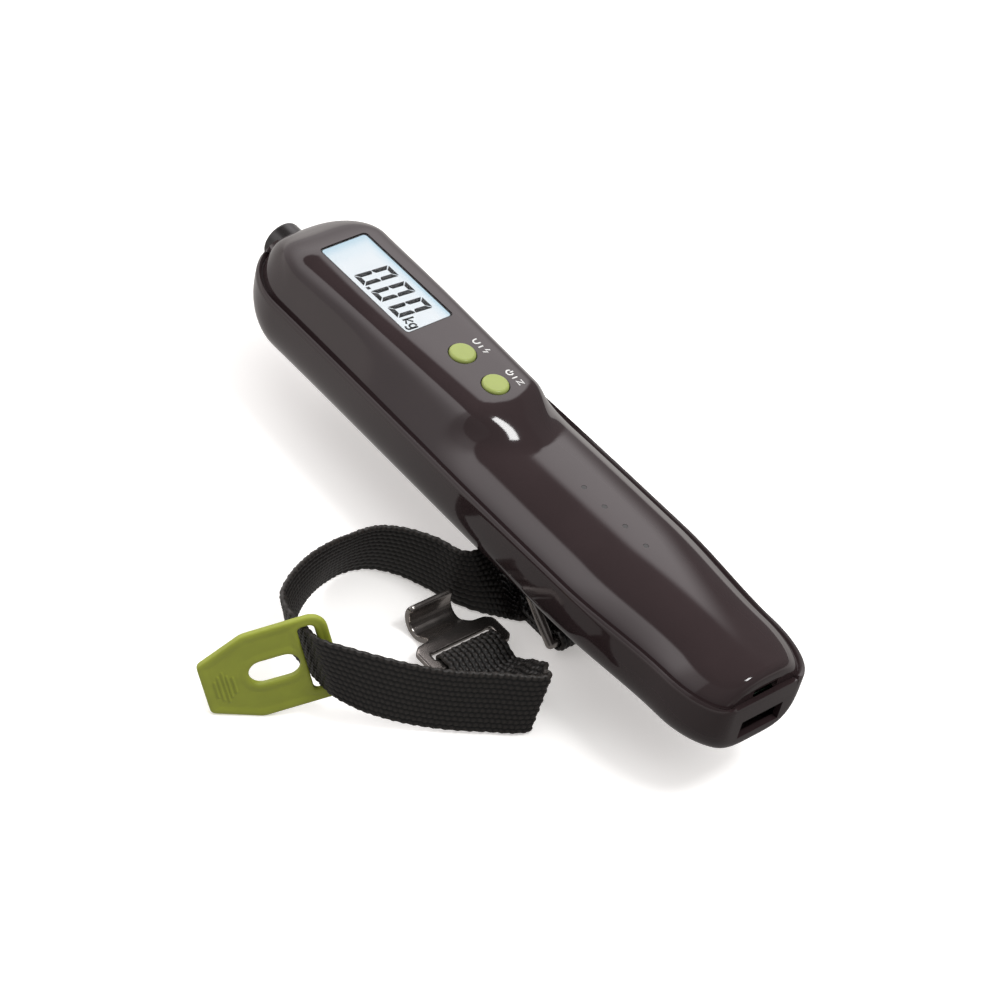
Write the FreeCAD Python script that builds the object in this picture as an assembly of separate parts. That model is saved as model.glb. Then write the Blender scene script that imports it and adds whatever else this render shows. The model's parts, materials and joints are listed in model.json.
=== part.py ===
# Digital luggage scale: a torch-shaped handle with a display head, a load cell
# over a round boss, a steel bail, a webbing strap with a pull tab, and a hook.
#
# Frame: millimetres, +Z up, X along the handle towards the USB end.  The origin
# is on the surface the scale lies on, straight below the load eye.
import FreeCAD, Part
import math
import os

V = FreeCAD.Vector

# ---------------------------------------------------------------- driving sizes
# Handle
SEAM_Z = 31.3            # height of the parting line between the two shells
HEAD_ARC_X = -94.75      # centre of the round head
HEAD_R = 18.1            # plan radius of the round head
END_X = 64.5             # flat end that holds the USB sockets
GRIP_HALF = 19.0         # widest half-width, over the boss
END_HALF = 16.6          # half-width where the end corners begin
CORNER_X = 49.0          # start of the rounded end corners
END_FLAT = 9.9           # half-width of the flat of the end face
HEAD_H = 13.5            # display plateau above the seam
GRIP_H = 8.7             # crown of the grip above the seam
END_DROP = 2.2           # how far the crown falls towards the USB end
BODY_DEPTH = 15.6        # lower shell below the seam
PLATEAU_X = -30.1        # the plateau's end
SLOPE_X = -17.0          # foot of the slope down from the plateau
WALL = 2.0
NOSE_R = 18.15           # how far the round nose reaches beyond HEAD_ARC_X
NOSE_POWER = 1.6         # how full the nose is, seen from the side
SHOULDER = (13.8, 10.8)  # how far the head's sides lean in, at its arc and at the plateau's end
SKIRT = 0.93             # how steeply the grip's sides lean in
CRISP = 10               # power that blends two faces across a crisp edge
CROWN_POWER = 2.1        # fullness of the grip's crown
KEEL_POWER = 3.9         # fullness of the lower shell
TAPER_X = 15.0           # the grip narrows from here to CORNER_X
DROP_X = 20.0            # and its crown falls from here
LIFT = 2.0               # how far the underside rises over LIFT_LENGTH at the end
LIFT_LENGTH = 14.0
SLOPE_LEAD = 6.0         # the slope starts this much sooner at the sides
SCREWS = [(-88.0, 12.6), (-88.0, -12.6), (-20.0, 13.6), (-20.0, -13.6), (47.0, 11.6), (47.0, -11.6)]
SCREW_SEAT_Z = 21.5      # depth of the screw recesses
RECESS_R = 2.1
POST_R = 2.6
THREAD_R = 1.0
# Torch in the nose
TORCH_X = -112.9         # foremost point of the shells
TORCH_Z = 29.1
TORCH_RING_R = 5.4
TORCH_RING_OUT = 3.5     # how far the ring stands out
TORCH_HOLE_R = 4.9
TORCH_BORE_R = 3.9
TORCH_LENS_R = 4.4
# Display and buttons
WINDOW_X = (-95.3, -60.5)
WINDOW_HALF = 7.5
WINDOW_CORNER = 1.2
WINDOW_TOP = 44.75
FLANGE_Z = (42.0, 42.62) # flange that holds the window under the shell
FRAME_Z = (36.15, 41.9)
FRAME_HALF = 9.4
BOARD_Z = (34.5, 36.1)   # main board
CAP_TOP = 45.5
CAP_LOW = 41.9
BUTTON_X = {"button_unit": -48.45, "button_power": -36.0}
BUTTON_R = 3.4
LIGHT_X = [-1.7, 5.7, 13.1, 20.5]
LIGHT_R = 0.65
# Sockets
USB_HALF = 6.6
USB_Z = (20.7, 26.2)
MICRO_HALF = 3.8
MICRO_TOP = 33.8
SOCKET_DEPTH = 6.0       # how deep the mouths are cut into the end
POWER_BOARD_Z = (28.6, 30.15)
# Load path
BOSS_R = 8.6
BOSS_Z = 3.3
BOSS_BORE_R = 5.5
BOSS_BORE_TOP = 14.6
SHANK_R = 2.5            # eye bolt
EYE_HOLE_R = 3.1         # hole for it in the shell
BEAM_Z = (21.45, 29.45)
BEAM_SCREW_X = (-41.0, -31.0)
BEAM_HOLE_X = (-20.0, -10.0)
PIVOT_Z = 11.0
BAIL_R = 1.3
BAIL_HALF = 10.6         # centre of each leg from the middle
BAIL_FOOT = (10.2, 3.0)  # X and Z of the lower bar
EYE_BORE_R = 1.36
# Webbing
WEB_W = 18.0
WEB_T = 1.5
FOOT_T = 3.1             # two sewn layers
# Tab
TAB_C = V(-9.9, -81.4, 13.1)
TAB_ALONG = V(-0.429, -0.825, -0.367)
TAB_ACROSS = V(0.329, 0.236, -0.915)
TAB_T = 1.8
TAB_OUTLINE = [(-14.4, -11.9), (5.6, -11.9), (16.7, -7.4), (16.7, 7.4), (5.6, 11.9), (-14.4, 11.9)]
TAB_CORNER = 2.2
TAB_SLOT = (-11.6, -7.4, 9.7)     # along the tab from, to, and half its width
FINGER_SLOT = (-6.1, 6.0, 3.2)
RIB_REACH = (2.2, 3.0, 4.3, 3.4, 2.2)
RIB_PITCH = 1.05
# Hook
HOOK_Y = -30.2
PLATE_T = 1.6
PLATE_TOP = 4.4
PLATE_OUTLINE = [(6.0, -11.0), (4.8, -12.3), (-1.4, -12.3), (-2.6, -10.8), (-3.2, -6.6), (-5.0, -6.4),
                 (-5.0, 6.4), (-3.2, 6.6), (-2.6, 10.8), (-1.4, 12.3), (4.8, 12.3), (6.0, 11.0)]
PLATE_SHIFT = -1.4
CURL_AT = (-9.2, 5.0)    # X and Z of the curl's centre
CURL_R = 5.0
CURL_HALF = 7.0
CURL_OPEN = (35.0, 38.0) # where the curl starts, and where its lip ends
HOOK_FLEX_X = 8.0        # line on which the webbing flexes behind the hook
HOOK_FLEX_Z = 3.6


# ---------------------------------------------------------------- small helpers
def box(x0, x1, y0, y1, z0, z1):
    return Part.makeBox(x1 - x0, y1 - y0, z1 - z0, V(x0, y0, z0))


def rod(r, start, end):
    way = end - start
    return Part.makeCylinder(r, way.Length, start, way)


def upright(r, x, y, z0, z1):
    return rod(r, V(x, y, z0), V(x, y, z1))


def along_x(r, x0, x1, y, z):
    return rod(r, V(x0, y, z), V(x1, y, z))


def across(r, x, y0, y1, z):
    return rod(r, V(x, y0, z), V(x, y1, z))


def fuse(shapes):
    return shapes[0].multiFuse(shapes[1:]).removeSplitter()


def group(shapes):
    return Part.makeCompound(shapes)


def rounded_box(x0, x1, y0, y1, z0, z1, r):
    block = box(x0, x1, y0, y1, z0, z1)
    edges = [e for e in block.Edges if abs(e.tangentAt(e.FirstParameter).z) > 0.9]
    return block.makeFillet(r, edges)


def extrude(points, way):
    wire = Part.makePolygon(points + [points[0]])
    return Part.Face(wire).extrude(way)


def ease(t):
    t = min(max(t, 0.0), 1.0)
    return t * t * (3 - 2 * t)


def mix(a, b, t):
    return a + (b - a) * t


# ------------------------------------------------------------------- the shells
def half_width(x):
    if x <= 0:
        return mix(HEAD_R, GRIP_HALF, ease((x - HEAD_ARC_X) / -HEAD_ARC_X))
    if x <= CORNER_X:
        return mix(GRIP_HALF, END_HALF, ease((x - TAPER_X) / (CORNER_X - TAPER_X)))
    u = min((x - CORNER_X) / (END_X - CORNER_X), 1.0)
    return END_FLAT + (END_HALF - END_FLAT) * math.sqrt(max(1 - u * u, 0.0))


def head_radius(x, a):
    """Section of the display head: a flat top, round shoulders, sloping skirts."""
    lean = mix(SHOULDER[0], SHOULDER[1], (x - HEAD_ARC_X) / (PLATEAU_X - HEAD_ARC_X))
    width = half_width(x)
    skirt = (HEAD_H * math.cos(a) + (width - lean) * math.sin(a)) / (width * HEAD_H)
    top = math.sin(a) / HEAD_H
    return (skirt ** CRISP + top ** CRISP) ** (-1 / CRISP)


def grip_radius(x, a):
    """Section of the grip: an oval crown trimmed by sloping skirts."""
    drop = END_DROP * max((x - DROP_X) / (END_X - DROP_X), 0.0) ** 2
    width = half_width(x) * 2 ** (1 / CRISP)
    c, s = math.cos(a) / width, math.sin(a)
    crown = (c ** CROWN_POWER + (s / (GRIP_H - drop)) ** CROWN_POWER) ** (1 / CROWN_POWER)
    skirt = c + SKIRT * s / width
    return (crown ** CRISP + skirt ** CRISP) ** (-1 / CRISP)


def upper_radius(x, a):
    start = PLATEAU_X - SLOPE_LEAD * math.cos(a) ** 2
    t = min(max((x - start) / (SLOPE_X - PLATEAU_X), 0.0), 1.0)
    return mix(head_radius(min(x, PLATEAU_X), a), grip_radius(x, a), t)


def lower_radius(x, a):
    lift = LIFT * max((x - (END_X - LIFT_LENGTH)) / LIFT_LENGTH, 0.0) ** 2
    c, s = math.cos(a) / half_width(x), math.sin(a) / (BODY_DEPTH - lift)
    return (c ** KEEL_POWER + s ** KEEL_POWER) ** (-1 / KEEL_POWER)


def half_profile(radius, sign, x, inset, steps=14):
    """Points from the seam to the middle of the section at x, nose included."""
    t = max((HEAD_ARC_X - x) / (NOSE_R - inset), 0.0)
    wide = math.sqrt(1 - t * t)
    high = (1 - t ** NOSE_POWER) ** (1 / NOSE_POWER)
    points = []
    for i in range(steps + 1):
        a = math.pi / 2 * i / steps
        r = radius(max(x, HEAD_ARC_X), a) - inset
        points.append((wide * r * math.cos(a), SEAM_Z + sign * high * r * math.sin(a)))
    points[-1] = (0.0, points[-1][1])
    return points


def section(radius, sign, x, inset):
    side = half_profile(radius, sign, x, inset)
    loop = [V(x, y, z) for y, z in side] + [V(x, -y, z) for y, z in reversed(side[:-1])]
    curve = Part.BSplineCurve()
    curve.interpolate(loop)
    return Part.Wire([curve.toShape(), Part.makeLine(loop[-1], loop[0])])


def stations(inset):
    """Section places: close together on the nose, the slope and the end corners."""
    xs = [HEAD_ARC_X - (NOSE_R - inset) * math.sin(math.radians(k)) for k in range(80, 0, -10)]
    xs += [HEAD_ARC_X, -80, -65, -50, -42, -36]
    xs += [PLATEAU_X - 2 + i * 2.18 for i in range(8)]
    xs += [-8, 5, 15, 24, 33, 42, CORNER_X]
    last = END_X - inset
    xs += [CORNER_X + (last - CORNER_X) * math.sin(math.pi / 2 * i / 8) for i in range(1, 9)]
    return xs


def half_body(radius, sign, inset):
    """One half of the handle, solid."""
    return Part.makeLoft([section(radius, sign, x, inset) for x in stations(inset)], True, True)


UPPER_SOLID = half_body(upper_radius, 1, 0.0)
LOWER_SOLID = half_body(lower_radius, -1, 0.0)


def micro_section(x, inset):
    """Socket outline: flat top, corners cut away at the parting line."""
    low, top, half = SEAM_Z + inset, MICRO_TOP - inset, MICRO_HALF - inset
    return [V(x, y, z) for y, z in ((-half + 0.8, low), (half - 0.8, low), (half, low + 0.9), (half, top),
                                    (-half, top), (-half, low + 0.9))]


def torch_hole():
    return along_x(TORCH_HOLE_R, TORCH_X - 2, HEAD_ARC_X - 10, 0, TORCH_Z)


def upper_shell():
    shell = UPPER_SOLID.cut(half_body(upper_radius, 1, WALL))
    posts = group([upright(2.5, x, y, SEAM_Z, 44) for x, y in SCREWS])
    shell = shell.fuse(posts.common(UPPER_SOLID))
    holes = [upright(THREAD_R + 0.05, x, y, SEAM_Z - 1, SEAM_Z + 5) for x, y in SCREWS]
    holes += [upright(BUTTON_R + 0.25, x, 0, 38, 50) for x in BUTTON_X.values()]
    holes += [upright(LIGHT_R + 0.05, x, 0, 36, 45) for x in LIGHT_X]
    holes.append(rounded_box(WINDOW_X[0], WINDOW_X[1], -WINDOW_HALF, WINDOW_HALF, 40, 50, WINDOW_CORNER))
    holes.append(torch_hole())
    holes.append(extrude(micro_section(END_X - SOCKET_DEPTH, 0), V(SOCKET_DEPTH + 4, 0, 0)))
    return shell.cut(group(holes))


def lower_shell():
    shell = LOWER_SOLID.cut(half_body(lower_radius, -1, WALL))
    posts = [upright(POST_R, x, y, 16, SEAM_Z) for x, y in SCREWS]
    posts.append(box(-46, -26, -7, 7, 16, BEAM_Z[0] - 0.05))
    shell = shell.fuse(group(posts).common(LOWER_SOLID))
    holes = [upright(THREAD_R + 0.25, x, y, 14, SEAM_Z + 1) for x, y in SCREWS]
    holes += [upright(RECESS_R, x, y, 14, SCREW_SEAT_Z) for x, y in SCREWS]
    holes += [upright(1.55, x, 0, 18.4, 22) for x in BEAM_SCREW_X]
    holes.append(upright(EYE_HOLE_R, 0, 0, 14, 20))
    holes.append(box(END_X - SOCKET_DEPTH, END_X + 4, -USB_HALF, USB_HALF, USB_Z[0], USB_Z[1]))
    holes.append(torch_hole())
    return shell.cut(group(holes))


def case_screws():
    """Cross-head screws, driven from below into the upper shell's posts."""
    screws = []
    top = SCREW_SEAT_Z - 0.05
    low = top - 1.35
    for x, y in SCREWS:
        head = upright(RECESS_R - 0.15, x, y, low, top)
        cross = group([box(x - 1.1, x + 1.1, y - 0.25, y + 0.25, low - 0.2, low + 0.7),
                       box(x - 0.25, x + 0.25, y - 1.1, y + 1.1, low - 0.2, low + 0.7)])
        screws.append(head.fuse(upright(THREAD_R, x, y, top - 0.05, SEAM_Z + 4.6)).cut(cross))
    return group(screws)


def boss_collar():
    """Round boss that guards the load eye, rounded at its lower rim."""
    boss = upright(BOSS_R, 0, 0, BOSS_Z, 19)
    rim = [e for e in boss.Edges if e.BoundBox.ZMax < BOSS_Z + 0.1]
    boss = boss.makeFillet(4.0, rim)
    boss = boss.cut(upright(BOSS_BORE_R, 0, 0, BOSS_Z - 1, BOSS_BORE_TOP))
    boss = boss.cut(upright(EYE_HOLE_R, 0, 0, 14, 20))
    boss = boss.cut(across(BAIL_R + 0.4, 0, -12, 12, PIVOT_Z))
    return boss.cut(LOWER_SOLID)


# ------------------------------------------------------------ display and keys
def display_window():
    """Clear cover in the display opening, with a flange below the shell."""
    x0, x1 = WINDOW_X[0] + 0.1, WINDOW_X[1] - 0.1
    low, high = FLANGE_Z
    plug = rounded_box(x0, x1, -WINDOW_HALF + 0.1, WINDOW_HALF - 0.1, high - 0.02, WINDOW_TOP,
                       WINDOW_CORNER - 0.1)
    flange = box(x0 - 0.5, x1 + 0.9, -WINDOW_HALF - 0.5, WINDOW_HALF + 0.5, low, high)
    return plug.fuse(flange).removeSplitter()


def lcd_frame():
    outer = box(-98.0, -57.8, -FRAME_HALF, FRAME_HALF, FRAME_Z[0], FRAME_Z[1])
    return outer.cut(box(-96.9, -58.9, -FRAME_HALF + 0.8, FRAME_HALF - 0.8, FRAME_Z[0] - 1, FRAME_Z[1] + 1))


def button(x):
    """Domed cap on a hidden flange, with a stem down to its switch."""
    cap = upright(BUTTON_R, x, 0, CAP_LOW, CAP_TOP)
    top = [e for e in cap.Edges if e.BoundBox.ZMin > CAP_TOP - 0.1]
    cap = cap.makeFillet(0.7, top)
    flange = upright(BUTTON_R + 0.9, x, 0, CAP_LOW - 0.3, CAP_LOW + 0.6)
    return fuse([cap, flange, upright(1.4, x, 0, CAP_LOW - 1.9, CAP_LOW + 0.1)])


def tact_switches():
    low = BOARD_Z[1]
    keys = []
    for x in BUTTON_X.values():
        body = box(x - 3, x + 3, -3, 3, low, low + 2.4)
        keys.append(body.fuse(upright(1.6, x, 0, low + 1.9, low + 3.1)))
    return group(keys)


def main_board():
    board = box(-98.0, -31.0, -FRAME_HALF, FRAME_HALF, BOARD_Z[0], BOARD_Z[1])
    return board.cut(group([upright(1.1, x, 0, 30, 40) for x in (-54.0, -42.2)]))


# ------------------------------------------------------------------- load path
def load_cell():
    """Binocular bending beam, bolted at its head end, free above the boss."""
    low, high = BEAM_Z
    middle = (low + high) / 2
    beam = box(-46, 7, -6, 6, low, high)
    cuts = [across(2.9, x, -7, 7, middle) for x in BEAM_HOLE_X]
    cuts.append(box(BEAM_HOLE_X[0], BEAM_HOLE_X[1], -7, 7, middle - 0.75, middle + 0.75))
    cuts += [upright(1.75, x, 0, low - 1, high + 1) for x in BEAM_SCREW_X]
    cuts.append(upright(SHANK_R + 0.1, 0, 0, low - 1, high + 1))
    return beam.cut(group(cuts))


def load_cell_screws():
    """Socket-head screws that hold the beam's fixed end to the lower shell."""
    seat = BEAM_Z[1] + 0.05
    screws = []
    for x in BEAM_SCREW_X:
        head = upright(2.9, x, 0, seat, seat + 2.2).cut(upright(1.4, x, 0, seat + 0.9, seat + 2.5))
        screws.append(head.fuse(upright(1.5, x, 0, 18.6, seat + 0.1)))
    return group(screws)


def load_eye():
    """Eye bolt: a shank up through the free end, an eye for the bail below."""
    eye = box(-3.2, 3.2, -4.2, 4.2, 7.4, 13.6)
    eye = eye.makeFillet(1.2, [e for e in eye.Edges if e.BoundBox.ZMax < 7.5])
    shank = upright(SHANK_R, 0, 0, 13, 33.2)
    return fuse([eye, shank, upright(4.4, 0, 0, 20.2, 21.4)]).cut(
        across(EYE_BORE_R, 0, -6, 6, PIVOT_Z))


def load_eye_nut():
    """Hexagon nut on the eye bolt, over the beam."""
    low = BEAM_Z[1] + 0.05
    corners = [V(4.6 * math.cos(k * math.pi / 3), 4.6 * math.sin(k * math.pi / 3), low) for k in range(6)]
    return extrude(corners, V(0, 0, 3.0)).cut(upright(SHANK_R + 0.05, 0, 0, low - 1, low + 4))


def bail():
    """Closed wire rectangle: upper bar through the eye, lower bar in the strap."""
    foot_x, foot_z = BAIL_FOOT
    low = [V(foot_x, s * BAIL_HALF, foot_z) for s in (-1, 1)]
    high = [V(0, s * BAIL_HALF, PIVOT_Z) for s in (-1, 1)]
    bars = [rod(BAIL_R, high[0], high[1]), rod(BAIL_R, low[0], low[1])]
    bars += [rod(BAIL_R, high[k], low[k]) for k in (0, 1)]
    bars += [Part.makeSphere(BAIL_R, p) for p in low + high]
    return fuse(bars)


# -------------------------------------------------------------------- webbing
def ribbon(places, thick=WEB_T):
    """Ruled webbing through places, each a lower edge point and the way across."""
    wires = []
    for k, (edge, over) in enumerate(places):
        before = places[max(k - 1, 0)]
        after = places[min(k + 1, len(places) - 1)]
        middle = [e + o * (WEB_W / 2) for e, o in (before, after)]
        way = middle[1] - middle[0]
        face = way.cross(over)
        face.normalize()
        face = face * (thick / 2)
        far = edge + over * WEB_W
        wires.append(Part.makePolygon([edge - face, far - face, far + face, edge + face, edge - face]))
    return Part.makeLoft(wires, True, True)


def place(x, y, z, ox, oy, oz):
    """Lower edge point of the webbing, and the unit way across it."""
    over = V(ox, oy, oz)
    over.normalize()
    return V(x, y, z), over


def strap_foot():
    """Sewn double end of the webbing, flat under the boss."""
    corners = [(6.0, -9.0), (6.0, 9.0), (-8.5, 9.0), (-15.0, 1.5), (-15.5, -0.6), (-0.4, -9.9)]
    return extrude([V(x, y, 0) for x, y in corners], V(0, 0, FOOT_T))


TAB_LEAN = -TAB_ACROSS
TAB_EDGE = TAB_C - TAB_ALONG * 9.5 - TAB_LEAN * (WEB_W / 2)   # lower edge of the webbing in the tab


def strap_far_side():
    """From flat beside the boss, up on edge and round the far side to the tab."""
    return ribbon([
        place(-1.1, -10.9, 0.85, -0.85, 0.53, 0.06),
        place(-4.3, -14.2, 0.8, -0.60, 0.36, 0.72),
        place(-8.4, -17.3, 0.4, -0.28, 0.02, 0.96),
        place(-14.0, -20.3, 0.2, -0.02, -0.06, 1.00),
        place(-21.5, -23.2, 0.2, 0.03, -0.06, 1.00),
        place(-28.5, -26.7, 0.2, 0.08, -0.11, 0.99),
        place(-33.4, -31.8, 0.3, 0.16, -0.08, 0.98),
        place(-35.3, -38.5, 0.4, 0.20, 0.06, 0.98),
        place(-34.4, -45.3, 1.0, 0.15, 0.20, 0.96),
        place(-31.0, -53.3, 3.0, 0.02, 0.26, 0.96),
        place(-26.0, -61.0, 4.8, -0.12, 0.14, 0.96),
        place(-20.0, -67.4, 6.4, -0.22, -0.04, 0.96),
        place(-14.2, -70.7, 7.8, -0.30, -0.18, 0.93),
        (TAB_EDGE + V(-6.3, 0, 0), TAB_LEAN),
    ])


def strap_at_tab():
    """Straight stretch that the tab slides on."""
    return ribbon([(TAB_EDGE + V(-6.0, 0, 0), TAB_LEAN), (TAB_EDGE + V(3.6, 0, 0), TAB_LEAN)])


def strap_near_side():
    """From the tab along the near side to the sharp fold."""
    return ribbon([
        (TAB_EDGE + V(4.5, 0.4, 0), TAB_LEAN),
        place(5.4, -67.4, 6.0, -0.24, -0.10, 0.97),
        place(9.6, -61.4, 3.4, -0.10, 0.03, 0.99),
        place(15.2, -52.4, 0.9, -0.06, 0.10, 0.99),
        place(22.4, -41.4, 0.2, -0.09, 0.09, 0.99),
        place(27.7, -33.2, 0.2, -0.04, 0.10, 0.99),
    ])


def strap_return():
    """From the fold back to the hook, turning down flat."""
    return ribbon([
        place(25.6, -31.9, 0.3, -0.05, 0.14, 0.99),
        place(24.5, -33.6, 0.5, -0.05, 0.36, 0.93),
        place(19.0, -38.4, 1.0, 0.00, 0.75, 0.66),
        place(13.6, -39.2, 2.2, 0.02, 0.97, 0.24),
        place(9.2, -39.2, HOOK_FLEX_Z, 0.00, 1.00, 0.00),
    ])


def strap_bail_loop():
    """Webbing turned round the bail's lower bar."""
    x, z = BAIL_FOOT
    ring = across(BAIL_R + 0.1 + WEB_T, x, -9, 9, z).cut(across(BAIL_R + 0.05, x, -10, 10, z))
    return ring.cut(box(x - 6, x - 2.6, -10, 10, z - 5, z + 5))


def strap_hook_loop():
    """Webbing turned round the hook's bar, its two layers sewn behind it."""
    y0, y1 = HOOK_Y - WEB_W / 2, HOOK_Y + WEB_W / 2
    low, high = PLATE_TOP - PLATE_T - 0.1 - WEB_T, PLATE_TOP + 0.1 + WEB_T
    block = box(0.0, 6.2, y0, y1, low, high)
    block = block.makeFillet(1.4, [e for e in block.Edges if e.BoundBox.XMax < 0.1 and e.Length > 10])
    block = block.cut(box(WEB_T, 4.7, y0 - 1, y1 + 1, low + WEB_T, high - WEB_T))
    tail = box(6.0, HOOK_FLEX_X - 0.8, y0, y1, HOOK_FLEX_Z - WEB_T / 2, HOOK_FLEX_Z + WEB_T / 2)
    return fuse([block, tail])


# ---------------------------------------------------------------- tab and hook
def tab_point(u, w, n):
    return TAB_C + TAB_ALONG * u + TAB_ACROSS * w + TAB_ALONG.cross(TAB_ACROSS) * n


def tab_oblong(u0, u1, half):
    """Cutter with round ends, through the tab, from u0 to u1 along it."""
    normal = TAB_ALONG.cross(TAB_ACROSS)
    ends = [rod(half, tab_point(u, 0, -TAB_T), tab_point(u, 0, -TAB_T) + normal * (2 * TAB_T))
            for u in (u0 + half, u1 - half)]
    sides = [tab_point(u, w, -TAB_T) for u, w in ((u0 + half, -half), (u1 - half, -half),
                                                  (u1 - half, half), (u0 + half, half))]
    return fuse(ends + [extrude(sides, normal * (2 * TAB_T))])


def pull_tab():
    """Soft six-sided tab with a finger slot, threaded on the webbing."""
    normal = TAB_ALONG.cross(TAB_ACROSS)
    plate = extrude([tab_point(u, w, -TAB_T / 2) for u, w in TAB_OUTLINE], normal * TAB_T)
    corners = [e for e in plate.Edges if abs(e.Length - TAB_T) < 0.05]
    plate = plate.makeFillet(TAB_CORNER, corners)
    near, far, half = TAB_SLOT
    slot = extrude([tab_point(u, w, -TAB_T) for u, w in ((near, -half), (far, -half), (far, half),
                                                         (near, half))], normal * (2 * TAB_T))
    plate = plate.cut(tab_oblong(*FINGER_SLOT)).cut(slot)
    ribs = []
    for k, reach in enumerate(RIB_REACH):
        u, w = 9.5 + RIB_PITCH * k, 1.1
        corners = [tab_point(u + du, w + dw, TAB_T / 2 - 0.1)
                   for du, dw in ((0, -reach), (0.55, -reach), (0.55, reach), (0, reach))]
        ribs.append(extrude(corners, normal * 0.35))
    return fuse([plate] + ribs)


def curl_gap():
    """Wedge taken out of the curl, from where it starts to the end of its lip."""
    start, lip = (math.radians(k) for k in CURL_OPEN)
    away = 1.8 * CURL_R
    return [(0, 0), (away * math.cos(start), away * math.sin(start)), (away, 12), (-12, 12),
            (-away * math.cos(lip), away * math.sin(lip))]


def hook_plate():
    """Pressed steel: a T for the webbing, a neck, and a rolled hook."""
    low, y = PLATE_TOP - PLATE_T, HOOK_Y
    plate = extrude([V(px + PLATE_SHIFT, y + py, low) for px, py in PLATE_OUTLINE], V(0, 0, PLATE_T))
    slot = box(-0.9, 1.6, y - 9.4, y + 9.4, low - 1, PLATE_TOP + 1)
    x, z = CURL_AT
    curl = across(CURL_R, x, y - CURL_HALF, y + CURL_HALF, z).cut(
        across(CURL_R - PLATE_T, x, y - CURL_HALF - 1, y + CURL_HALF + 1, z))
    gap = extrude([V(x + a, y - CURL_HALF - 2, z + b) for a, b in curl_gap()], V(0, 2 * CURL_HALF + 4, 0))
    curl = curl.cut(gap)
    curl = curl.cut(box(x, x + 8, y - CURL_HALF - 2, y + CURL_HALF + 2, low + 0.4, 12))
    return fuse([plate.cut(slot), curl])


# ------------------------------------------------------- power and light parts
def charge_leds():
    return group([box(x - 0.8, x + 0.8, -0.5, 0.5, 35.65, 36.4) for x in LIGHT_X])


def charge_light_guides():
    guides = [upright(LIGHT_R, x, 0, 36.8, 39.95) for x in LIGHT_X]
    return fuse(guides + [box(-4, 22.8, -1.5, 1.5, 36.6, 37.3)])


def power_parts():
    low = POWER_BOARD_Z[1] + 0.05
    coil = upright(3.0, 24.0, 4.5, low, low + 3.0)
    chips = [box(30, 35, -5, 0, low, low + 1.2), box(38, 42, 1, 5, low, low + 1.1),
             box(17, 20, -6, -2, low, low + 1.4)]
    return group([coil] + chips)


def usb_output_shell():
    """Pressed can of a type A socket, with legs up to the board."""
    can = box(51.2, END_X - 0.9, -6.5, 6.5, USB_Z[0] + 0.1, USB_Z[1] - 0.1)
    can = can.cut(box(52.0, END_X, -6.1, 6.1, USB_Z[0] + 0.5, USB_Z[1] - 0.5))
    legs = [box(54, 56, y, y + 0.4, 25.5, POWER_BOARD_Z[0]) for y in (-6.5, 6.1)]
    return fuse([can] + legs)


def usb_output_tongue():
    return fuse([box(52.0, 54.0, -6.05, 6.05, USB_Z[0] + 0.55, USB_Z[1] - 0.55),
                 box(54.0, END_X - 3.0, -5.5, 5.5, USB_Z[1] - 2.3, USB_Z[1] - 0.7)])


def micro_usb_shell():
    can = extrude(micro_section(58.5, 0.08), V(END_X - 59.4, 0, 0))
    can = can.cut(extrude(micro_section(59.0, 0.4), V(10, 0, 0)))
    legs = [box(59.5, 61.0, s * 2.6 - 0.2, s * 2.6 + 0.2, 30.2, SEAM_Z + 0.2) for s in (-1, 1)]
    return fuse([can] + legs)


def micro_usb_tongue():
    return fuse([extrude(micro_section(59.0, 0.45), V(1, 0, 0)),
                 box(60.0, END_X - 2.2, -2.0, 2.0, SEAM_Z + 1.35, SEAM_Z + 1.9)])


# ----------------------------------------------------------------------- torch
def torch_bezel():
    """Round ring on the nose, with a plug in the shells and a groove for the lens."""
    nose = TORCH_X - TORCH_RING_OUT
    ring = along_x(TORCH_RING_R, nose, TORCH_X + 3.0, 0, TORCH_Z)
    front = [e for e in ring.Edges if e.BoundBox.XMax < nose + 0.1]
    ring = ring.makeFillet(0.8, front).cut(UPPER_SOLID).cut(LOWER_SOLID)
    ring = ring.fuse(along_x(TORCH_HOLE_R - 0.05, TORCH_X - 0.5, -105.2, 0, TORCH_Z))
    ring = ring.cut(along_x(TORCH_BORE_R, TORCH_X - 6, -104, 0, TORCH_Z))
    return ring.cut(along_x(TORCH_LENS_R + 0.1, TORCH_X - 1.8, TORCH_X - 0.3, 0, TORCH_Z))


def torch_reflector():
    wide = TORCH_BORE_R - 0.1
    cup = Part.makeCone(1.7, wide, 3.2, V(-109.9, 0, TORCH_Z), V(-1, 0, 0))
    return cup.cut(Part.makeCone(1.3, wide - 0.4, 3.4, V(-109.8, 0, TORCH_Z), V(-1, 0, 0)))


def torch_led():
    star = along_x(TORCH_BORE_R - 0.05, -108.6, -107.4, 0, TORCH_Z)
    return star.fuse(along_x(1.2, -109.7, -108.5, 0, TORCH_Z))


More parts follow.
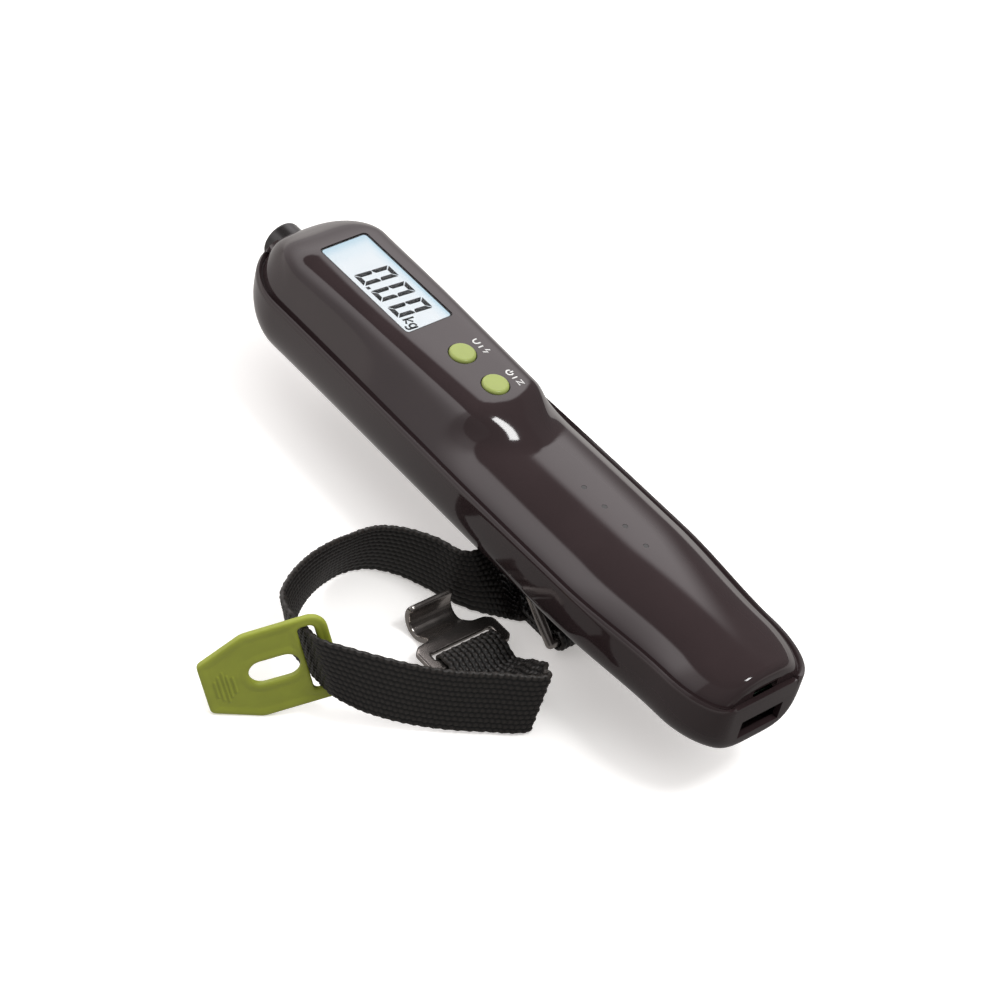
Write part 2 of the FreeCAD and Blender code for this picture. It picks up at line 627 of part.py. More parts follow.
PARTS = {
    "upper_shell": upper_shell(),
    "lower_shell": lower_shell(),
    "case_screws": case_screws(),
    "boss_collar": boss_collar(),
    "display_window": display_window(),
    "lcd_glass": box(-96.5, -59.3, -8.4, 8.4, 39.9, 41.8),
    "lcd_backlight": box(-96.5, -59.3, -7.0, 8.4, 36.9, 39.7),
    "lcd_contact_strip": box(-94.0, -62.0, -8.5, -7.4, 36.15, 39.85),
    "lcd_frame": lcd_frame(),
    "main_board": main_board(),
    "controller_chip": box(-90.0, -80.0, -5.0, 5.0, 32.6, 34.45),
    "tact_switches": tact_switches(),
    "load_cell": load_cell(),
    "load_cell_screws": load_cell_screws(),
    "strain_gauges": group([box(-23, -17, -2.5, 2.5, 29.5, 29.8), box(-13, -7, -2.5, 2.5, 29.5, 29.8)]),
    "load_eye": load_eye(),
    "load_eye_nut": load_eye_nut(),
    "bail": bail(),
    "strap_bail_loop": strap_bail_loop(),
    "strap_foot": strap_foot(),
    "strap_far_side": strap_far_side(),
    "strap_at_tab": strap_at_tab(),
    "strap_near_side": strap_near_side(),
    "strap_return": strap_return(),
    "strap_hook_loop": strap_hook_loop(),
    "hook_plate": hook_plate(),
    "pull_tab": pull_tab(),
    "battery_cell": rounded_box(12, 43.5, -10.2, 10.2, 20.1, 28.0, 1.0),
    "battery_pads": group([box(15, 21, -5, 5, 18.65, 20.05), box(34, 40, -5, 5, 18.65, 20.05)]),
    "power_board": box(14, 62.2, -8.5, 8.5, POWER_BOARD_Z[0], POWER_BOARD_Z[1]),
    "power_parts": power_parts(),
    "usb_output_shell": usb_output_shell(),
    "usb_output_tongue": usb_output_tongue(),
    "micro_usb_shell": micro_usb_shell(),
    "micro_usb_tongue": micro_usb_tongue(),
    "charge_led_board": box(-6, 25, -3, 3, 34.6, 35.6),
    "charge_leds": charge_leds(),
    "charge_light_guides": charge_light_guides(),
    "torch_bezel": torch_bezel(),
    "torch_lens": along_x(TORCH_LENS_R, TORCH_X - 1.7, TORCH_X - 0.5, 0, TORCH_Z),
    "torch_reflector": torch_reflector(),
    "torch_led": torch_led(),
}
for name, x in BUTTON_X.items():
    PARTS[name] = button(x)

os.makedirs("parts", exist_ok=True)
for name, shape in PARTS.items():
    shape.exportStep("parts/" + name + ".step")
    print(name, shape.isValid(), len(shape.Solids), round(shape.Volume, 1))
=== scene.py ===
import json
import math

import bmesh
import bpy
from mathutils import Matrix, Vector


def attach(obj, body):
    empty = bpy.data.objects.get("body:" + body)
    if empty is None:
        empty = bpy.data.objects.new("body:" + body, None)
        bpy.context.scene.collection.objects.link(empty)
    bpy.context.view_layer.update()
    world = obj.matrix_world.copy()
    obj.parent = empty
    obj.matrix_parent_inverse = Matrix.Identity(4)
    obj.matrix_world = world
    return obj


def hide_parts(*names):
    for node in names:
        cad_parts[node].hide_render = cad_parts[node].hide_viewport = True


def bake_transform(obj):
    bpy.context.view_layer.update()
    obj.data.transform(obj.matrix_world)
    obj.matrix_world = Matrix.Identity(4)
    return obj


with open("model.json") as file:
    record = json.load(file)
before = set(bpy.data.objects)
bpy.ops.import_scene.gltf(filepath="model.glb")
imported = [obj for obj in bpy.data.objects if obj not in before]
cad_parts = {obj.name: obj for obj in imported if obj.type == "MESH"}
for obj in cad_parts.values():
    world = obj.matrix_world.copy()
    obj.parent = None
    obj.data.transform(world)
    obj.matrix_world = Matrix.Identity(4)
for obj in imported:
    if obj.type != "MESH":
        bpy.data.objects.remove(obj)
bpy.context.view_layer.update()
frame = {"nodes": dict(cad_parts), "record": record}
record = frame["record"]

MM = 0.001


# ---------------------------------------------------------------- camera, light and floor

CAMERA_AT = Vector((0.38656, -0.51056, 0.60563))
CAMERA_TURN = 38.88      # degrees from facing +Y, towards -X
CAMERA_DOWN = 41.97
CAMERA_ROLL = 15.66
LENS = 130.987


def make_camera():
    data = bpy.data.cameras.new("camera")
    data.lens = LENS
    data.sensor_width = 36.0
    data.clip_start = 0.01
    data.clip_end = 50.0
    camera = bpy.data.objects.new("camera", data)
    turn = Matrix.Rotation(math.radians(CAMERA_TURN), 4, "Z")
    tip = Matrix.Rotation(math.radians(90 - CAMERA_DOWN), 4, "X")
    roll = Matrix.Rotation(math.radians(CAMERA_ROLL), 4, "Z")
    camera.matrix_world = Matrix.Translation(CAMERA_AT) @ turn @ tip @ roll
    bpy.context.scene.collection.objects.link(camera)
    bpy.context.scene.camera = camera


def add_node(tree, kind, **settings):
    item = tree.nodes.new(kind)
    for key, value in settings.items():
        setattr(item, key, value)
    return item


def ramp(tree, stops):
    item = tree.nodes.new("ShaderNodeValToRGB")
    item.color_ramp.interpolation = "EASE"
    while len(item.color_ramp.elements) < len(stops):
        item.color_ramp.elements.new(0.5)
    for element, (place, colour) in zip(item.color_ramp.elements, stops):
        element.position = place
        element.color = (*colour, 1.0)
    return item


# Brightness of the bright wall by how high it stands (0 straight down, 1 straight up).
WALL_PEAK = 2.15
WALL_HEIGHT = [
    (0.00, 0.60), (0.50, 0.62), (0.59, 0.75), (0.66, 1.20), (0.75, 1.90), (0.82, 2.15),
    (0.862, 2.10), (0.880, 0.00), (1.00, 0.00),
]
# How much of it there is round the compass (0 and 1 at -Y, 0.25 at -X, 0.5 at +Y).
WALL_ROUND = [
    (0.00, 0.30), (0.045, 0.45), (0.075, 0.95), (0.12, 0.90), (0.33, 0.90), (0.414, 1.00), (0.428, 0.03),
    (1.00, 0.05),
]
ROOM = 0.17


def make_world():
    """A dim room with one bright wall that ends sharply at its top and right."""
    world = bpy.data.worlds.new("studio")
    world.use_nodes = True
    tree = world.node_tree
    tree.nodes.clear()
    out = add_node(tree, "ShaderNodeOutputWorld")
    back = add_node(tree, "ShaderNodeBackground")
    coords = add_node(tree, "ShaderNodeTexCoord")
    split = add_node(tree, "ShaderNodeSeparateXYZ")
    height = add_node(tree, "ShaderNodeMath", operation="MULTIPLY_ADD")
    height.inputs[1].default_value = 0.5
    height.inputs[2].default_value = 0.5
    angle = add_node(tree, "ShaderNodeMath", operation="ARCTAN2")
    turn = add_node(tree, "ShaderNodeMath", operation="MULTIPLY_ADD")
    turn.inputs[1].default_value = 1 / (2 * math.pi)
    turn.inputs[2].default_value = 0.5
    up = ramp(tree, [(z, (v / WALL_PEAK,) * 3) for z, v in WALL_HEIGHT])
    round_room = ramp(tree, [(z, (v, v * 0.965, v * 0.975)) for z, v in WALL_ROUND])
    for item in (up, round_room):
        item.color_ramp.interpolation = "LINEAR"
    both = add_node(tree, "ShaderNodeVectorMath", operation="MULTIPLY")
    total = add_node(tree, "ShaderNodeVectorMath", operation="ADD")
    total.inputs[1].default_value = (ROOM / WALL_PEAK, ROOM / WALL_PEAK, ROOM / WALL_PEAK)
    tree.links.new(coords.outputs["Generated"], split.inputs[0])
    tree.links.new(split.outputs["Z"], height.inputs[0])
    tree.links.new(height.outputs[0], up.inputs[0])
    tree.links.new(split.outputs["X"], angle.inputs[0])
    tree.links.new(split.outputs["Y"], angle.inputs[1])
    tree.links.new(angle.outputs[0], turn.inputs[0])
    tree.links.new(turn.outputs[0], round_room.inputs[0])
    tree.links.new(up.outputs[0], both.inputs[0])
    tree.links.new(round_room.outputs[0], both.inputs[1])
    tree.links.new(both.outputs[0], total.inputs[0])
    tree.links.new(total.outputs[0], back.inputs["Color"])
    back.inputs["Strength"].default_value = WALL_PEAK
    tree.links.new(back.outputs[0], out.inputs[0])
    bpy.context.scene.world = world


def area_light(name, place, aim, size, power, glossy=True):
    data = bpy.data.lights.new(name, "AREA")
    data.shape = "RECTANGLE"
    data.size, data.size_y = size
    data.energy = power
    light = bpy.data.objects.new(name, data)
    light.location = place
    light.rotation_euler = (Vector(aim) - Vector(place)).to_track_quat("-Z", "Y").to_euler()
    light.visible_camera = False
    light.visible_glossy = glossy
    bpy.context.scene.collection.objects.link(light)


def make_floor():
    """White paper for the camera. For every other ray it is a painted reflection of the lit floor: a plain
    glow with painted shade near the handle and towards the strap.
    """
    mesh = bpy.data.meshes.new("floor")
    half = 6.0
    mesh.from_pydata(
        [(-half, -half, 0), (half, -half, 0), (half, half, 0), (-half, half, 0)], [], [(0, 1, 2, 3)])
    floor = bpy.data.objects.new("floor", mesh)
    floor.location.z = -0.05 * MM
    bpy.context.scene.collection.objects.link(floor)
    material = bpy.data.materials.new("floor_paper")
    material.use_nodes = True
    tree = material.node_tree
    paper = tree.nodes["Principled BSDF"]
    paper.inputs["Base Color"].default_value = (0.93, 0.925, 0.915, 1)
    paper.inputs["Roughness"].default_value = 0.9
    paper.inputs["Specular IOR Level"].default_value = 0.1
    path = add_node(tree, "ShaderNodeLightPath")
    # painted reflection: every ray but the camera's sees this glow in place of the lit paper
    painted_floor_reflection = add_node(tree, "ShaderNodeEmission")
    painted_floor_reflection.inputs["Color"].default_value = (1.0, 0.965, 0.94, 1)
    where = add_node(tree, "ShaderNodeNewGeometry")
    split = add_node(tree, "ShaderNodeSeparateXYZ")
    # painted shade: the glow is dimmer close to the handle's axis
    painted_shade_near_handle = add_node(tree, "ShaderNodeMapRange")
    for socket, value in (("From Min", 0.03), ("From Max", 0.15), ("To Min", 0.31), ("To Max", 0.72)):
        painted_shade_near_handle.inputs[socket].default_value = value
    tree.links.new(where.outputs["Position"], split.inputs[0])
    aside = add_node(tree, "ShaderNodeMath", operation="ABSOLUTE")
    # painted shade: the glow is dimmer towards the strap end and brighter towards the head
    painted_shade_towards_strap = add_node(tree, "ShaderNodeMapRange")
    for socket, value in (("From Min", 0.0), ("From Max", -0.09), ("To Min", -0.05), ("To Max", 0.30)):
        painted_shade_towards_strap.inputs[socket].default_value = value
    level = add_node(tree, "ShaderNodeMath", operation="ADD")
    tree.links.new(split.outputs["Y"], aside.inputs[0])
    tree.links.new(aside.outputs[0], painted_shade_near_handle.inputs["Value"])
    tree.links.new(split.outputs["X"], painted_shade_towards_strap.inputs["Value"])
    tree.links.new(painted_shade_near_handle.outputs[0], level.inputs[0])
    tree.links.new(painted_shade_towards_strap.outputs[0], level.inputs[1])
    tree.links.new(level.outputs[0], painted_floor_reflection.inputs["Strength"])
    glow = add_node(tree, "ShaderNodeMath", operation="MULTIPLY")
    glow.inputs[1].default_value = 0.36
    tree.links.new(path.outputs["Is Camera Ray"], glow.inputs[0])
    paper.inputs["Emission Color"].default_value = (1.0, 0.965, 0.935, 1)
    tree.links.new(glow.outputs[0], paper.inputs["Emission Strength"])
    either = add_node(tree, "ShaderNodeMixShader")
    tree.links.new(path.outputs["Is Camera Ray"], either.inputs[0])
    tree.links.new(painted_floor_reflection.outputs[0], either.inputs[1])
    tree.links.new(paper.outputs[0], either.inputs[2])
    tree.links.new(either.outputs[0], tree.nodes["Material Output"].inputs[0])
    material.cycles.emission_sampling = "NONE"
    mesh.materials.append(material)


make_camera()
make_world()
make_floor()
area_light("overhead_square", (0.35, 0.16, 1.0), (-0.02, 0, 0.04), (0.23, 0.23), 3.4)
area_light("soft_ceiling", (0.15, 0.30, 1.20), (0, 0, 0), (2.2, 2.2), 17.0, glossy=False)
scene = bpy.context.scene
scene.view_settings.view_transform = "Standard"


# ---------------------------------------------------------------- materials

def surface(name, colour, drift=0.15, roughness=0.4, spread=0.08, metallic=0.0, grain=0.02,
            grain_size=0.4, patch_size=6.0, stretch=(1, 1, 1), **sockets):
    """A material whose colour and gloss drift in patches, with a fine raised grain.

    colour is linear. drift and spread are how far the colour and the roughness wander,
    grain is the height of the grain in mm, grain_size and patch_size are in mm."""
    material = bpy.data.materials.new(name)
    material.use_nodes = True
    tree = material.node_tree
    shader = tree.nodes["Principled BSDF"]
    coords = add_node(tree, "ShaderNodeTexCoord")
    mapping = add_node(tree, "ShaderNodeMapping")
    mapping.inputs["Scale"].default_value = stretch
    tree.links.new(coords.outputs["Object"], mapping.inputs[0])
    patches = add_node(tree, "ShaderNodeTexNoise")
    patches.inputs["Scale"].default_value = 1000 / patch_size
    patches.inputs["Detail"].default_value = 4
    fine = add_node(tree, "ShaderNodeTexNoise")
    fine.inputs["Scale"].default_value = 1000 / grain_size
    fine.inputs["Detail"].default_value = 3
    for noise in (patches, fine):
        tree.links.new(mapping.outputs[0], noise.inputs["Vector"])
    dark = tuple(c * (1 - drift) for c in colour)
    light = tuple(min(c * (1 + drift), 1.0) for c in colour)
    tint = ramp(tree, [(0.3, dark), (0.7, light)])
    tree.links.new(patches.outputs["Fac"], tint.inputs[0])
    tree.links.new(tint.outputs[0], shader.inputs["Base Color"])
    gloss = add_node(tree, "ShaderNodeMapRange")
    gloss.inputs["From Min"].default_value = 0.3
    gloss.inputs["From Max"].default_value = 0.7
    gloss.inputs["To Min"].default_value = max(roughness - spread, 0.0)
    gloss.inputs["To Max"].default_value = min(roughness + spread, 1.0)
    tree.links.new(patches.outputs["Fac"], gloss.inputs["Value"])
    tree.links.new(gloss.outputs[0], shader.inputs["Roughness"])
    if grain:
        bump = add_node(tree, "ShaderNodeBump")
        bump.inputs["Strength"].default_value = 1.0
        bump.inputs["Distance"].default_value = grain * MM
        tree.links.new(fine.outputs["Fac"], bump.inputs["Height"])
        tree.links.new(bump.outputs[0], shader.inputs["Normal"])
    shader.inputs["Metallic"].default_value = metallic
    for key, value in sockets.items():
        shader.inputs[key.replace("_", " ")].default_value = value
    return material


def black_webbing():
    """Near-black weave with painted shade between the threads and a painted highlight on their crests."""
    material = bpy.data.materials.new("black_webbing")
    material.use_nodes = True
    tree = material.node_tree
    shader = tree.nodes["Principled BSDF"]
    shape = add_node(tree, "ShaderNodeNewGeometry")
    # painted shade in the valleys and painted highlight on the crests, driven by pointiness
    tint = ramp(tree, [(0.44, (0.0008, 0.0007, 0.0006)), (0.50, (0.0050, 0.0041, 0.0035)),
                       (0.56, (0.031, 0.0255, 0.022))])
    tree.links.new(shape.outputs["Pointiness"], tint.inputs[0])
    tree.links.new(tint.outputs[0], shader.inputs["Base Color"])
    coords = add_node(tree, "ShaderNodeTexCoord")
    threads = add_node(tree, "ShaderNodeTexNoise")
    threads.inputs["Scale"].default_value = 5200
    threads.inputs["Detail"].default_value = 2
    tree.links.new(coords.outputs["Object"], threads.inputs["Vector"])
    bump = add_node(tree, "ShaderNodeBump")
    bump.inputs["Strength"].default_value = 0.7
    bump.inputs["Distance"].default_value = 0.00002
    tree.links.new(threads.outputs["Fac"], bump.inputs["Height"])
    tree.links.new(bump.outputs[0], shader.inputs["Normal"])
    shader.inputs["Roughness"].default_value = 0.45
    return material


FINISH = {
    "shell_plastic": surface("gloss_plastic", (0.0315, 0.0205, 0.0215), drift=0.05, roughness=0.085,
                             spread=0.012, grain=0.0, patch_size=14, IOR=1.5),
    "key_green": surface("key_green", (0.325, 0.385, 0.103), drift=0.04, roughness=0.33, spread=0.04,
                         grain=0.002, grain_size=0.25),
    "steel": surface("brushed_steel", (0.37, 0.34, 0.32), drift=0.05, roughness=0.25, spread=0.03,
                     metallic=0.97, grain=0.0015, grain_size=0.35, stretch=(0.12, 1.6, 1.0)),
    "webbing": black_webbing(),
    "tab_rubber": surface("olive_rubber", (0.305, 0.345, 0.037), drift=0.05, roughness=0.5, spread=0.04,
                          grain=0.004, grain_size=0.3, patch_size=5),
    "bezel": surface("bezel_plastic", (0.010, 0.008, 0.008), drift=0.15, roughness=0.24, spread=0.05,
                     grain=0.001, grain_size=0.5),
    "frame_plastic": surface("frame_plastic", (0.55, 0.55, 0.53), roughness=0.5, grain=0.01),
    "contact_rubber": surface("contact_rubber", (0.02, 0.02, 0.02), roughness=0.7, grain=0.01),
    "circuit_board": surface("circuit_board", (0.01, 0.09, 0.035), drift=0.25, roughness=0.35, grain=0.01),
    "chip": surface("chip", (0.012, 0.012, 0.013), roughness=0.55, grain=0.01),
    "switch": surface("switch", (0.32, 0.32, 0.31), roughness=0.4, grain=0.005),
    "cell_alloy": surface("cell_alloy", (0.62, 0.63, 0.64), drift=0.06, roughness=0.36, metallic=1.0,
                          grain=0.004, stretch=(0.1, 1, 1)),
    "gauge_foil": surface("gauge_foil", (0.55, 0.28, 0.08), roughness=0.4, grain=0.003),
    "battery_wrap": surface("battery_wrap", (0.05, 0.16, 0.32), drift=0.1, roughness=0.3, grain=0.004),
    "foam": surface("foam", (0.03, 0.03, 0.032), roughness=0.95, grain=0.08, grain_size=0.5),
    "socket_steel": surface("socket_steel", (0.60, 0.59, 0.57), drift=0.08, roughness=0.2, metallic=1.0,
                            grain=0.002),
    "socket_plastic": surface("socket_plastic", (0.018, 0.016, 0.016), roughness=0.4, grain=0.004),
    "guide_clear": surface("smoked_guide", (0.008, 0.007, 0.007), roughness=0.12, spread=0.03, grain=0.0005),
    "led": surface("led", (0.75, 0.75, 0.62), roughness=0.25, grain=0.002),
    "lens": surface("lens", (0.55, 0.57, 0.60), roughness=0.08, spread=0.03, grain=0.0005,
                    Transmission_Weight=0.7),
    "reflector": surface("reflector", (0.8, 0.8, 0.8), roughness=0.12, metallic=1.0, grain=0.001),
    "backlight": surface("backlight", (0.8, 0.85, 0.88), roughness=0.5, grain=0.003),
    "lcd": surface("lcd_glass", (0.75, 0.82, 0.85), roughness=0.15, grain=0.0005),
    "window_clear": surface("window_clear", (0.96, 0.98, 0.99), drift=0.01, roughness=0.02, spread=0.01,
                            grain=0.0002, Transmission_Weight=1.0, IOR=1.45),
}
SLOT_FINISH = {}
for slot in record["materials"]:
    SLOT_FINISH[slot["slot"]] = FINISH[slot["slot"]]
for thing in frame["nodes"].values():
    for holder in thing.material_slots:
        holder.material = SLOT_FINISH[holder.material.name.split(".")[0]]


# ---------------------------------------------------------------- mesh helpers

def mesh_object(name, points, faces, finish, smooth_angle=None):
    """A mesh piece from points in mm. smooth_angle in degrees rounds the shading below it."""
    mesh = bpy.data.meshes.new(name)
    mesh.from_pydata([Vector(p) * MM for p in points], [], faces)
    mesh.update()
    thing = bpy.data.objects.new(name, mesh)
    bpy.context.scene.collection.objects.link(thing)
    mesh.materials.append(finish)
    clean(thing, smooth_angle)
    return thing


def clean(thing, smooth_angle=None, weld=1e-6):
    """Welds doubled points, turns the faces outward and sets the shading."""
    work = bmesh.new()
    work.from_mesh(thing.data)
    bmesh.ops.remove_doubles(work, verts=work.verts, dist=weld)
    bmesh.ops.recalc_face_normals(work, faces=work.faces)
    work.to_mesh(thing.data)
    work.free()
    thing.data.shade_smooth()
    if smooth_angle is not None:
        thing.data.set_sharp_from_angle(angle=math.radians(smooth_angle))


def apply_modifiers(thing):
    graph = bpy.context.evaluated_depsgraph_get()
    made = bpy.data.meshes.new_from_object(thing.evaluated_get(graph))
    thing.modifiers.clear()
    old = thing.data
    thing.data = made
    bpy.data.meshes.remove(old)


def prism(outline, low, high):
    """Points and faces of an upright prism on an outline of (x, y)."""
    n = len(outline)
    points = [(x, y, low) for x, y in outline] + [(x, y, high) for x, y in outline]
    faces = [tuple(range(n))[::-1], tuple(range(n, 2 * n))]
    faces += [(i, (i + 1) % n, n + (i + 1) % n, n + i) for i in range(n)]
    return points, faces


def joined(parts):
    """One list of points and faces from several."""
    points, faces = [], []
    for some_points, some_faces in parts:
        start = len(points)
        points += some_points
        faces += [tuple(start + i for i in f) for f in some_faces]
    return points, faces


def circle(x, y, r, steps=48):
    return [(x + r * math.cos(2 * math.pi * i / steps), y + r * math.sin(2 * math.pi * i / steps))
            for i in range(steps)]


def rounded_rectangle(x0, x1, y0, y1, r, steps=8):
    """Outline with round corners, anticlockwise from the lower right."""
    points = []
    corners = ((x1 - r, y0 + r, -90), (x1 - r, y1 - r, 0), (x0 + r, y1 - r, 90), (x0 + r, y0 + r, 180))
    for cx, cy, start in corners:
        for i in range(steps + 1):
            a = math.radians(start + 90 * i / steps)
            points.append((cx + r * math.cos(a), cy + r * math.sin(a)))
    return points


def sideways(parts, order):
    """The same prism with its axes in another order, such as (2, 0, 1)."""
    points, faces = parts
    return [tuple(p[k] for k in order) for p in points], faces


# ---------------------------------------------------------------- the two shells

SEAM_Z = 31.3
HEAD_ARC_X = -94.75
HEAD_R = 18.1
NOSE_R = 18.15
NOSE_POWER = 1.6
END_X = 64.5
GRIP_HALF = 19.0
END_HALF = 16.6
CORNER_X = 49.0
END_FLAT = 9.9
HEAD_H = 13.5
GRIP_H = 8.7
END_DROP = 2.2
BODY_DEPTH = 15.6
PLATEAU_X = -30.1        # end of the display plateau
SLOPE_X = -17.0          # foot of the slope down from it
SLOPE_LEAD = 6.0         # the slope starts this much sooner at the sides
SLOPE_SPREAD = 0.12      # share of a plain blend mixed into the eased slope
SHOULDER = (13.8, 10.8)  # how far the head's sides lean in, at its arc and at the plateau's end
SKIRT = 0.93
CRISP = 10               # power that blends two faces across a crisp edge
CROWN_POWER = 2.1
KEEL_POWER = 3.9
TAPER_X = 15.0           # the grip narrows from here to CORNER_X
DROP_X = 20.0            # and its crown falls from here
LIFT = 2.0               # how far the underside rises over LIFT_LENGTH at the end
LIFT_LENGTH = 14.0
WALL = 1.6
SEAM_GROOVE = 0.15
END_ROUND = {1: 2.0, -1: 1.5}      # radius where the end face meets the upper and lower shell


def ease(t):
    t = min(max(t, 0.0), 1.0)
    return t * t * (3 - 2 * t)


def mix(a, b, t):
    return a + (b - a) * t


def half_width(x):
    if x <= 0:
        return mix(HEAD_R, GRIP_HALF, ease((x - HEAD_ARC_X) / -HEAD_ARC_X))
    if x <= CORNER_X:
        return mix(GRIP_HALF, END_HALF, ease((x - TAPER_X) / (CORNER_X - TAPER_X)))
    u = min((x - CORNER_X) / (END_X - CORNER_X), 1.0)
    return END_FLAT + (END_HALF - END_FLAT) * math.sqrt(max(1 - u * u, 0.0))


def head_radius(x, a, square):
    corner = mix(*SHOULDER, (x - HEAD_ARC_X) / (PLATEAU_X - HEAD_ARC_X))
    width = half_width(x)
    skirt = (HEAD_H * math.cos(a) + (width - corner) * math.sin(a)) / (width * HEAD_H)
    top = math.sin(a) / HEAD_H
    return (skirt ** square + top ** square) ** (-1 / square)


def head_square(x):
    """How square the head's shoulder is: crisp by the keys, round on the nose."""
    if x < HEAD_ARC_X:
        return mix(7.0, 5.6, ease(1.25 * (HEAD_ARC_X - x) / NOSE_R))
    return mix(7.0, 10.0, ease((x - HEAD_ARC_X) / 30.0))


def grip_radius(x, a):
    drop = END_DROP * max((x - DROP_X) / (END_X - DROP_X), 0.0) ** 2
    width = half_width(x) * 2 ** (1 / CRISP)
    c, s = max(math.cos(a), 0.0) / width, math.sin(a)
    crown = (c ** CROWN_POWER + (s / (GRIP_H - drop)) ** CROWN_POWER) ** (1 / CROWN_POWER)
    skirt = c + SKIRT * s / width
    return (crown ** CRISP + skirt ** CRISP) ** (-1 / CRISP)


def upper_radius(x, a):
    start = PLATEAU_X - SLOPE_LEAD * math.cos(a) ** 2
    t = (x - start) / (SLOPE_X - PLATEAU_X)
    head = head_radius(max(min(x, PLATEAU_X), HEAD_ARC_X), a, head_square(x))
    return mix(head, grip_radius(max(x, HEAD_ARC_X), a), ease(mix(t, 0.5, SLOPE_SPREAD)))


def lower_radius(x, a):
    x = max(x, HEAD_ARC_X)
    lift = LIFT * max((x - (END_X - LIFT_LENGTH)) / LIFT_LENGTH, 0.0) ** 2
    c, s = max(math.cos(a), 0.0) / half_width(x), math.sin(a) / (BODY_DEPTH - lift)
    return (c ** KEEL_POWER + s ** KEEL_POWER) ** (-1 / KEEL_POWER)


def shell_rows(sign):
    """Places along the shell, each (x, inset): nose, body, end corners, rounded end."""
    rows = [(HEAD_ARC_X - NOSE_R * math.sin(math.radians(k)), 0.0) for k in range(88, 0, -4)]
    count = 118
    rows += [(mix(HEAD_ARC_X, CORNER_X, i / count), 0.0) for i in range(count + 1)]
    e = END_ROUND[sign]
    last = END_X - e
    rows += [(CORNER_X + (last - CORNER_X) * math.sin(math.radians(k)), 0.0) for k in range(5, 91, 5)]
    rows += [(last + e * math.sin(math.radians(k)), e * (1 - math.cos(math.radians(k))))
             for k in range(10, 91, 10)]
    return rows


def shell_skin(radius, sign):
    """The outer skin of one half, with a fine groove along the parting line."""
    steps = 76
    points, faces, width = [], [], 2 * steps + 3
    rows = shell_rows(sign)
    for x, inset in rows:
        t = max((HEAD_ARC_X - x) / NOSE_R, 0.0)
        wide = math.sqrt(1 - t * t)
        high = (1 - t ** NOSE_POWER) ** (1 / NOSE_POWER)
        row = []
        for i in range(steps + 1):
            a = math.pi / 2 * i / steps
            r = radius(x, a)
            lift = high * (r - inset) * math.sin(a)
            row.append((x, wide * r * math.cos(a), SEAM_Z + sign * (lift if i else SEAM_GROOVE)))
        row[-1] = (x, 0.0, row[-1][2])
        foot = row[0]
        if x < HEAD_ARC_X:
            k = 1 - SEAM_GROOVE / NOSE_R
            lip = (mix(HEAD_ARC_X, x, k), foot[1] * k, SEAM_Z + sign * 0.01)
        else:
            lip = (min(x, END_X - SEAM_GROOVE), foot[1] - SEAM_GROOVE, SEAM_Z + sign * 0.01)
        row = [lip] + row
        row += [(px, -py, pz) for px, py, pz in reversed(row[:-1])]
        points += row
    for i in range(len(rows) - 1):
        for j in range(width - 1):
            a = i * width + j
            faces.append((a, a + 1, a + width + 1, a + width))
    last = (len(rows) - 1) * width
    faces.append(tuple(last + j for j in range(width)))
    return points, faces


def cut(thing, cutters):
    """Takes the cutter prisms out of a mesh piece."""
    points, faces = joined(cutters)
    tool = mesh_object("cutter", points, faces, FINISH["shell_plastic"])
    boolean = thing.modifiers.new("holes", "BOOLEAN")
    boolean.operation = "DIFFERENCE"
    boolean.solver = "EXACT"
    boolean.use_self = True
    boolean.object = tool
    apply_modifiers(thing)
    bpy.data.objects.remove(tool)


WINDOW = (-95.3, -60.5, -7.5, 7.5)
KEYS = {"button_unit": -48.45, "button_power": -36.0}
KEY_R = 3.4
LIGHTS = (-1.7, 5.7, 13.1, 20.5)
LIGHT_R = 0.65
SCREW_HOLE_R = 2.1
BOSS_BORE_R = 5.5
SCREWS = [(-88.0, 12.6), (-88.0, -12.6), (-20.0, 13.6), (-20.0, -13.6), (47.0, 11.6), (47.0, -11.6)]
USB = [(-6.6, 20.7), (6.6, 20.7), (6.6, 26.2), (-6.6, 26.2)]
MICRO = [(-3.0, 31.0), (3.0, 31.0), (3.8, 32.1), (3.8, 33.8), (-3.8, 33.8), (-3.8, 32.1)]
TORCH_HOLE_R = 4.9
TORCH_Z = 29.1


def end_prism(outline, x0, x1):
    """A prism along the handle on an outline of (y, z)."""
    return sideways(prism(outline, x0, x1), (2, 0, 1))


def make_shell(name, radius, sign, cutters):
    """One half of the handle as a wall with its holes cut."""
    points, faces = shell_skin(radius, sign)
    thing = mesh_object(name, points, faces, FINISH["shell_plastic"])
    wall = thing.modifiers.new("wall", "SOLIDIFY")
    wall.thickness = WALL * MM
    wall.offset = -1.0
    apply_modifiers(thing)
    cut(thing, cutters)
    clean(thing, 32)
    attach(thing, "handle")
    return thing


torch = end_prism(circle(0, TORCH_Z, TORCH_HOLE_R), -116.0, -106.0)
upper_cutters = [prism(rounded_rectangle(*WINDOW, 1.2), 40, 50)]
upper_cutters += [prism(circle(x, 0, KEY_R + 0.25, 64), 38, 50) for x in KEYS.values()]
upper_cutters += [prism(circle(x, 0, LIGHT_R + 0.05, 24), 36, 45) for x in LIGHTS]
upper_cutters += [end_prism(MICRO, 59.0, 68.0), torch]
upper = make_shell("upper_case", upper_radius, 1, upper_cutters)
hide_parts("upper_shell")

lower_cutters = [prism(circle(x, y, SCREW_HOLE_R, 32), 10, 24) for x, y in SCREWS]
lower_cutters += [prism(circle(0, 0, BOSS_BORE_R, 48), 10, 20)]
lower_cutters += [end_prism(USB, 58.0, 68.0), torch]
lower = make_shell("lower_case", lower_radius, -1, lower_cutters)
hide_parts("lower_shell")


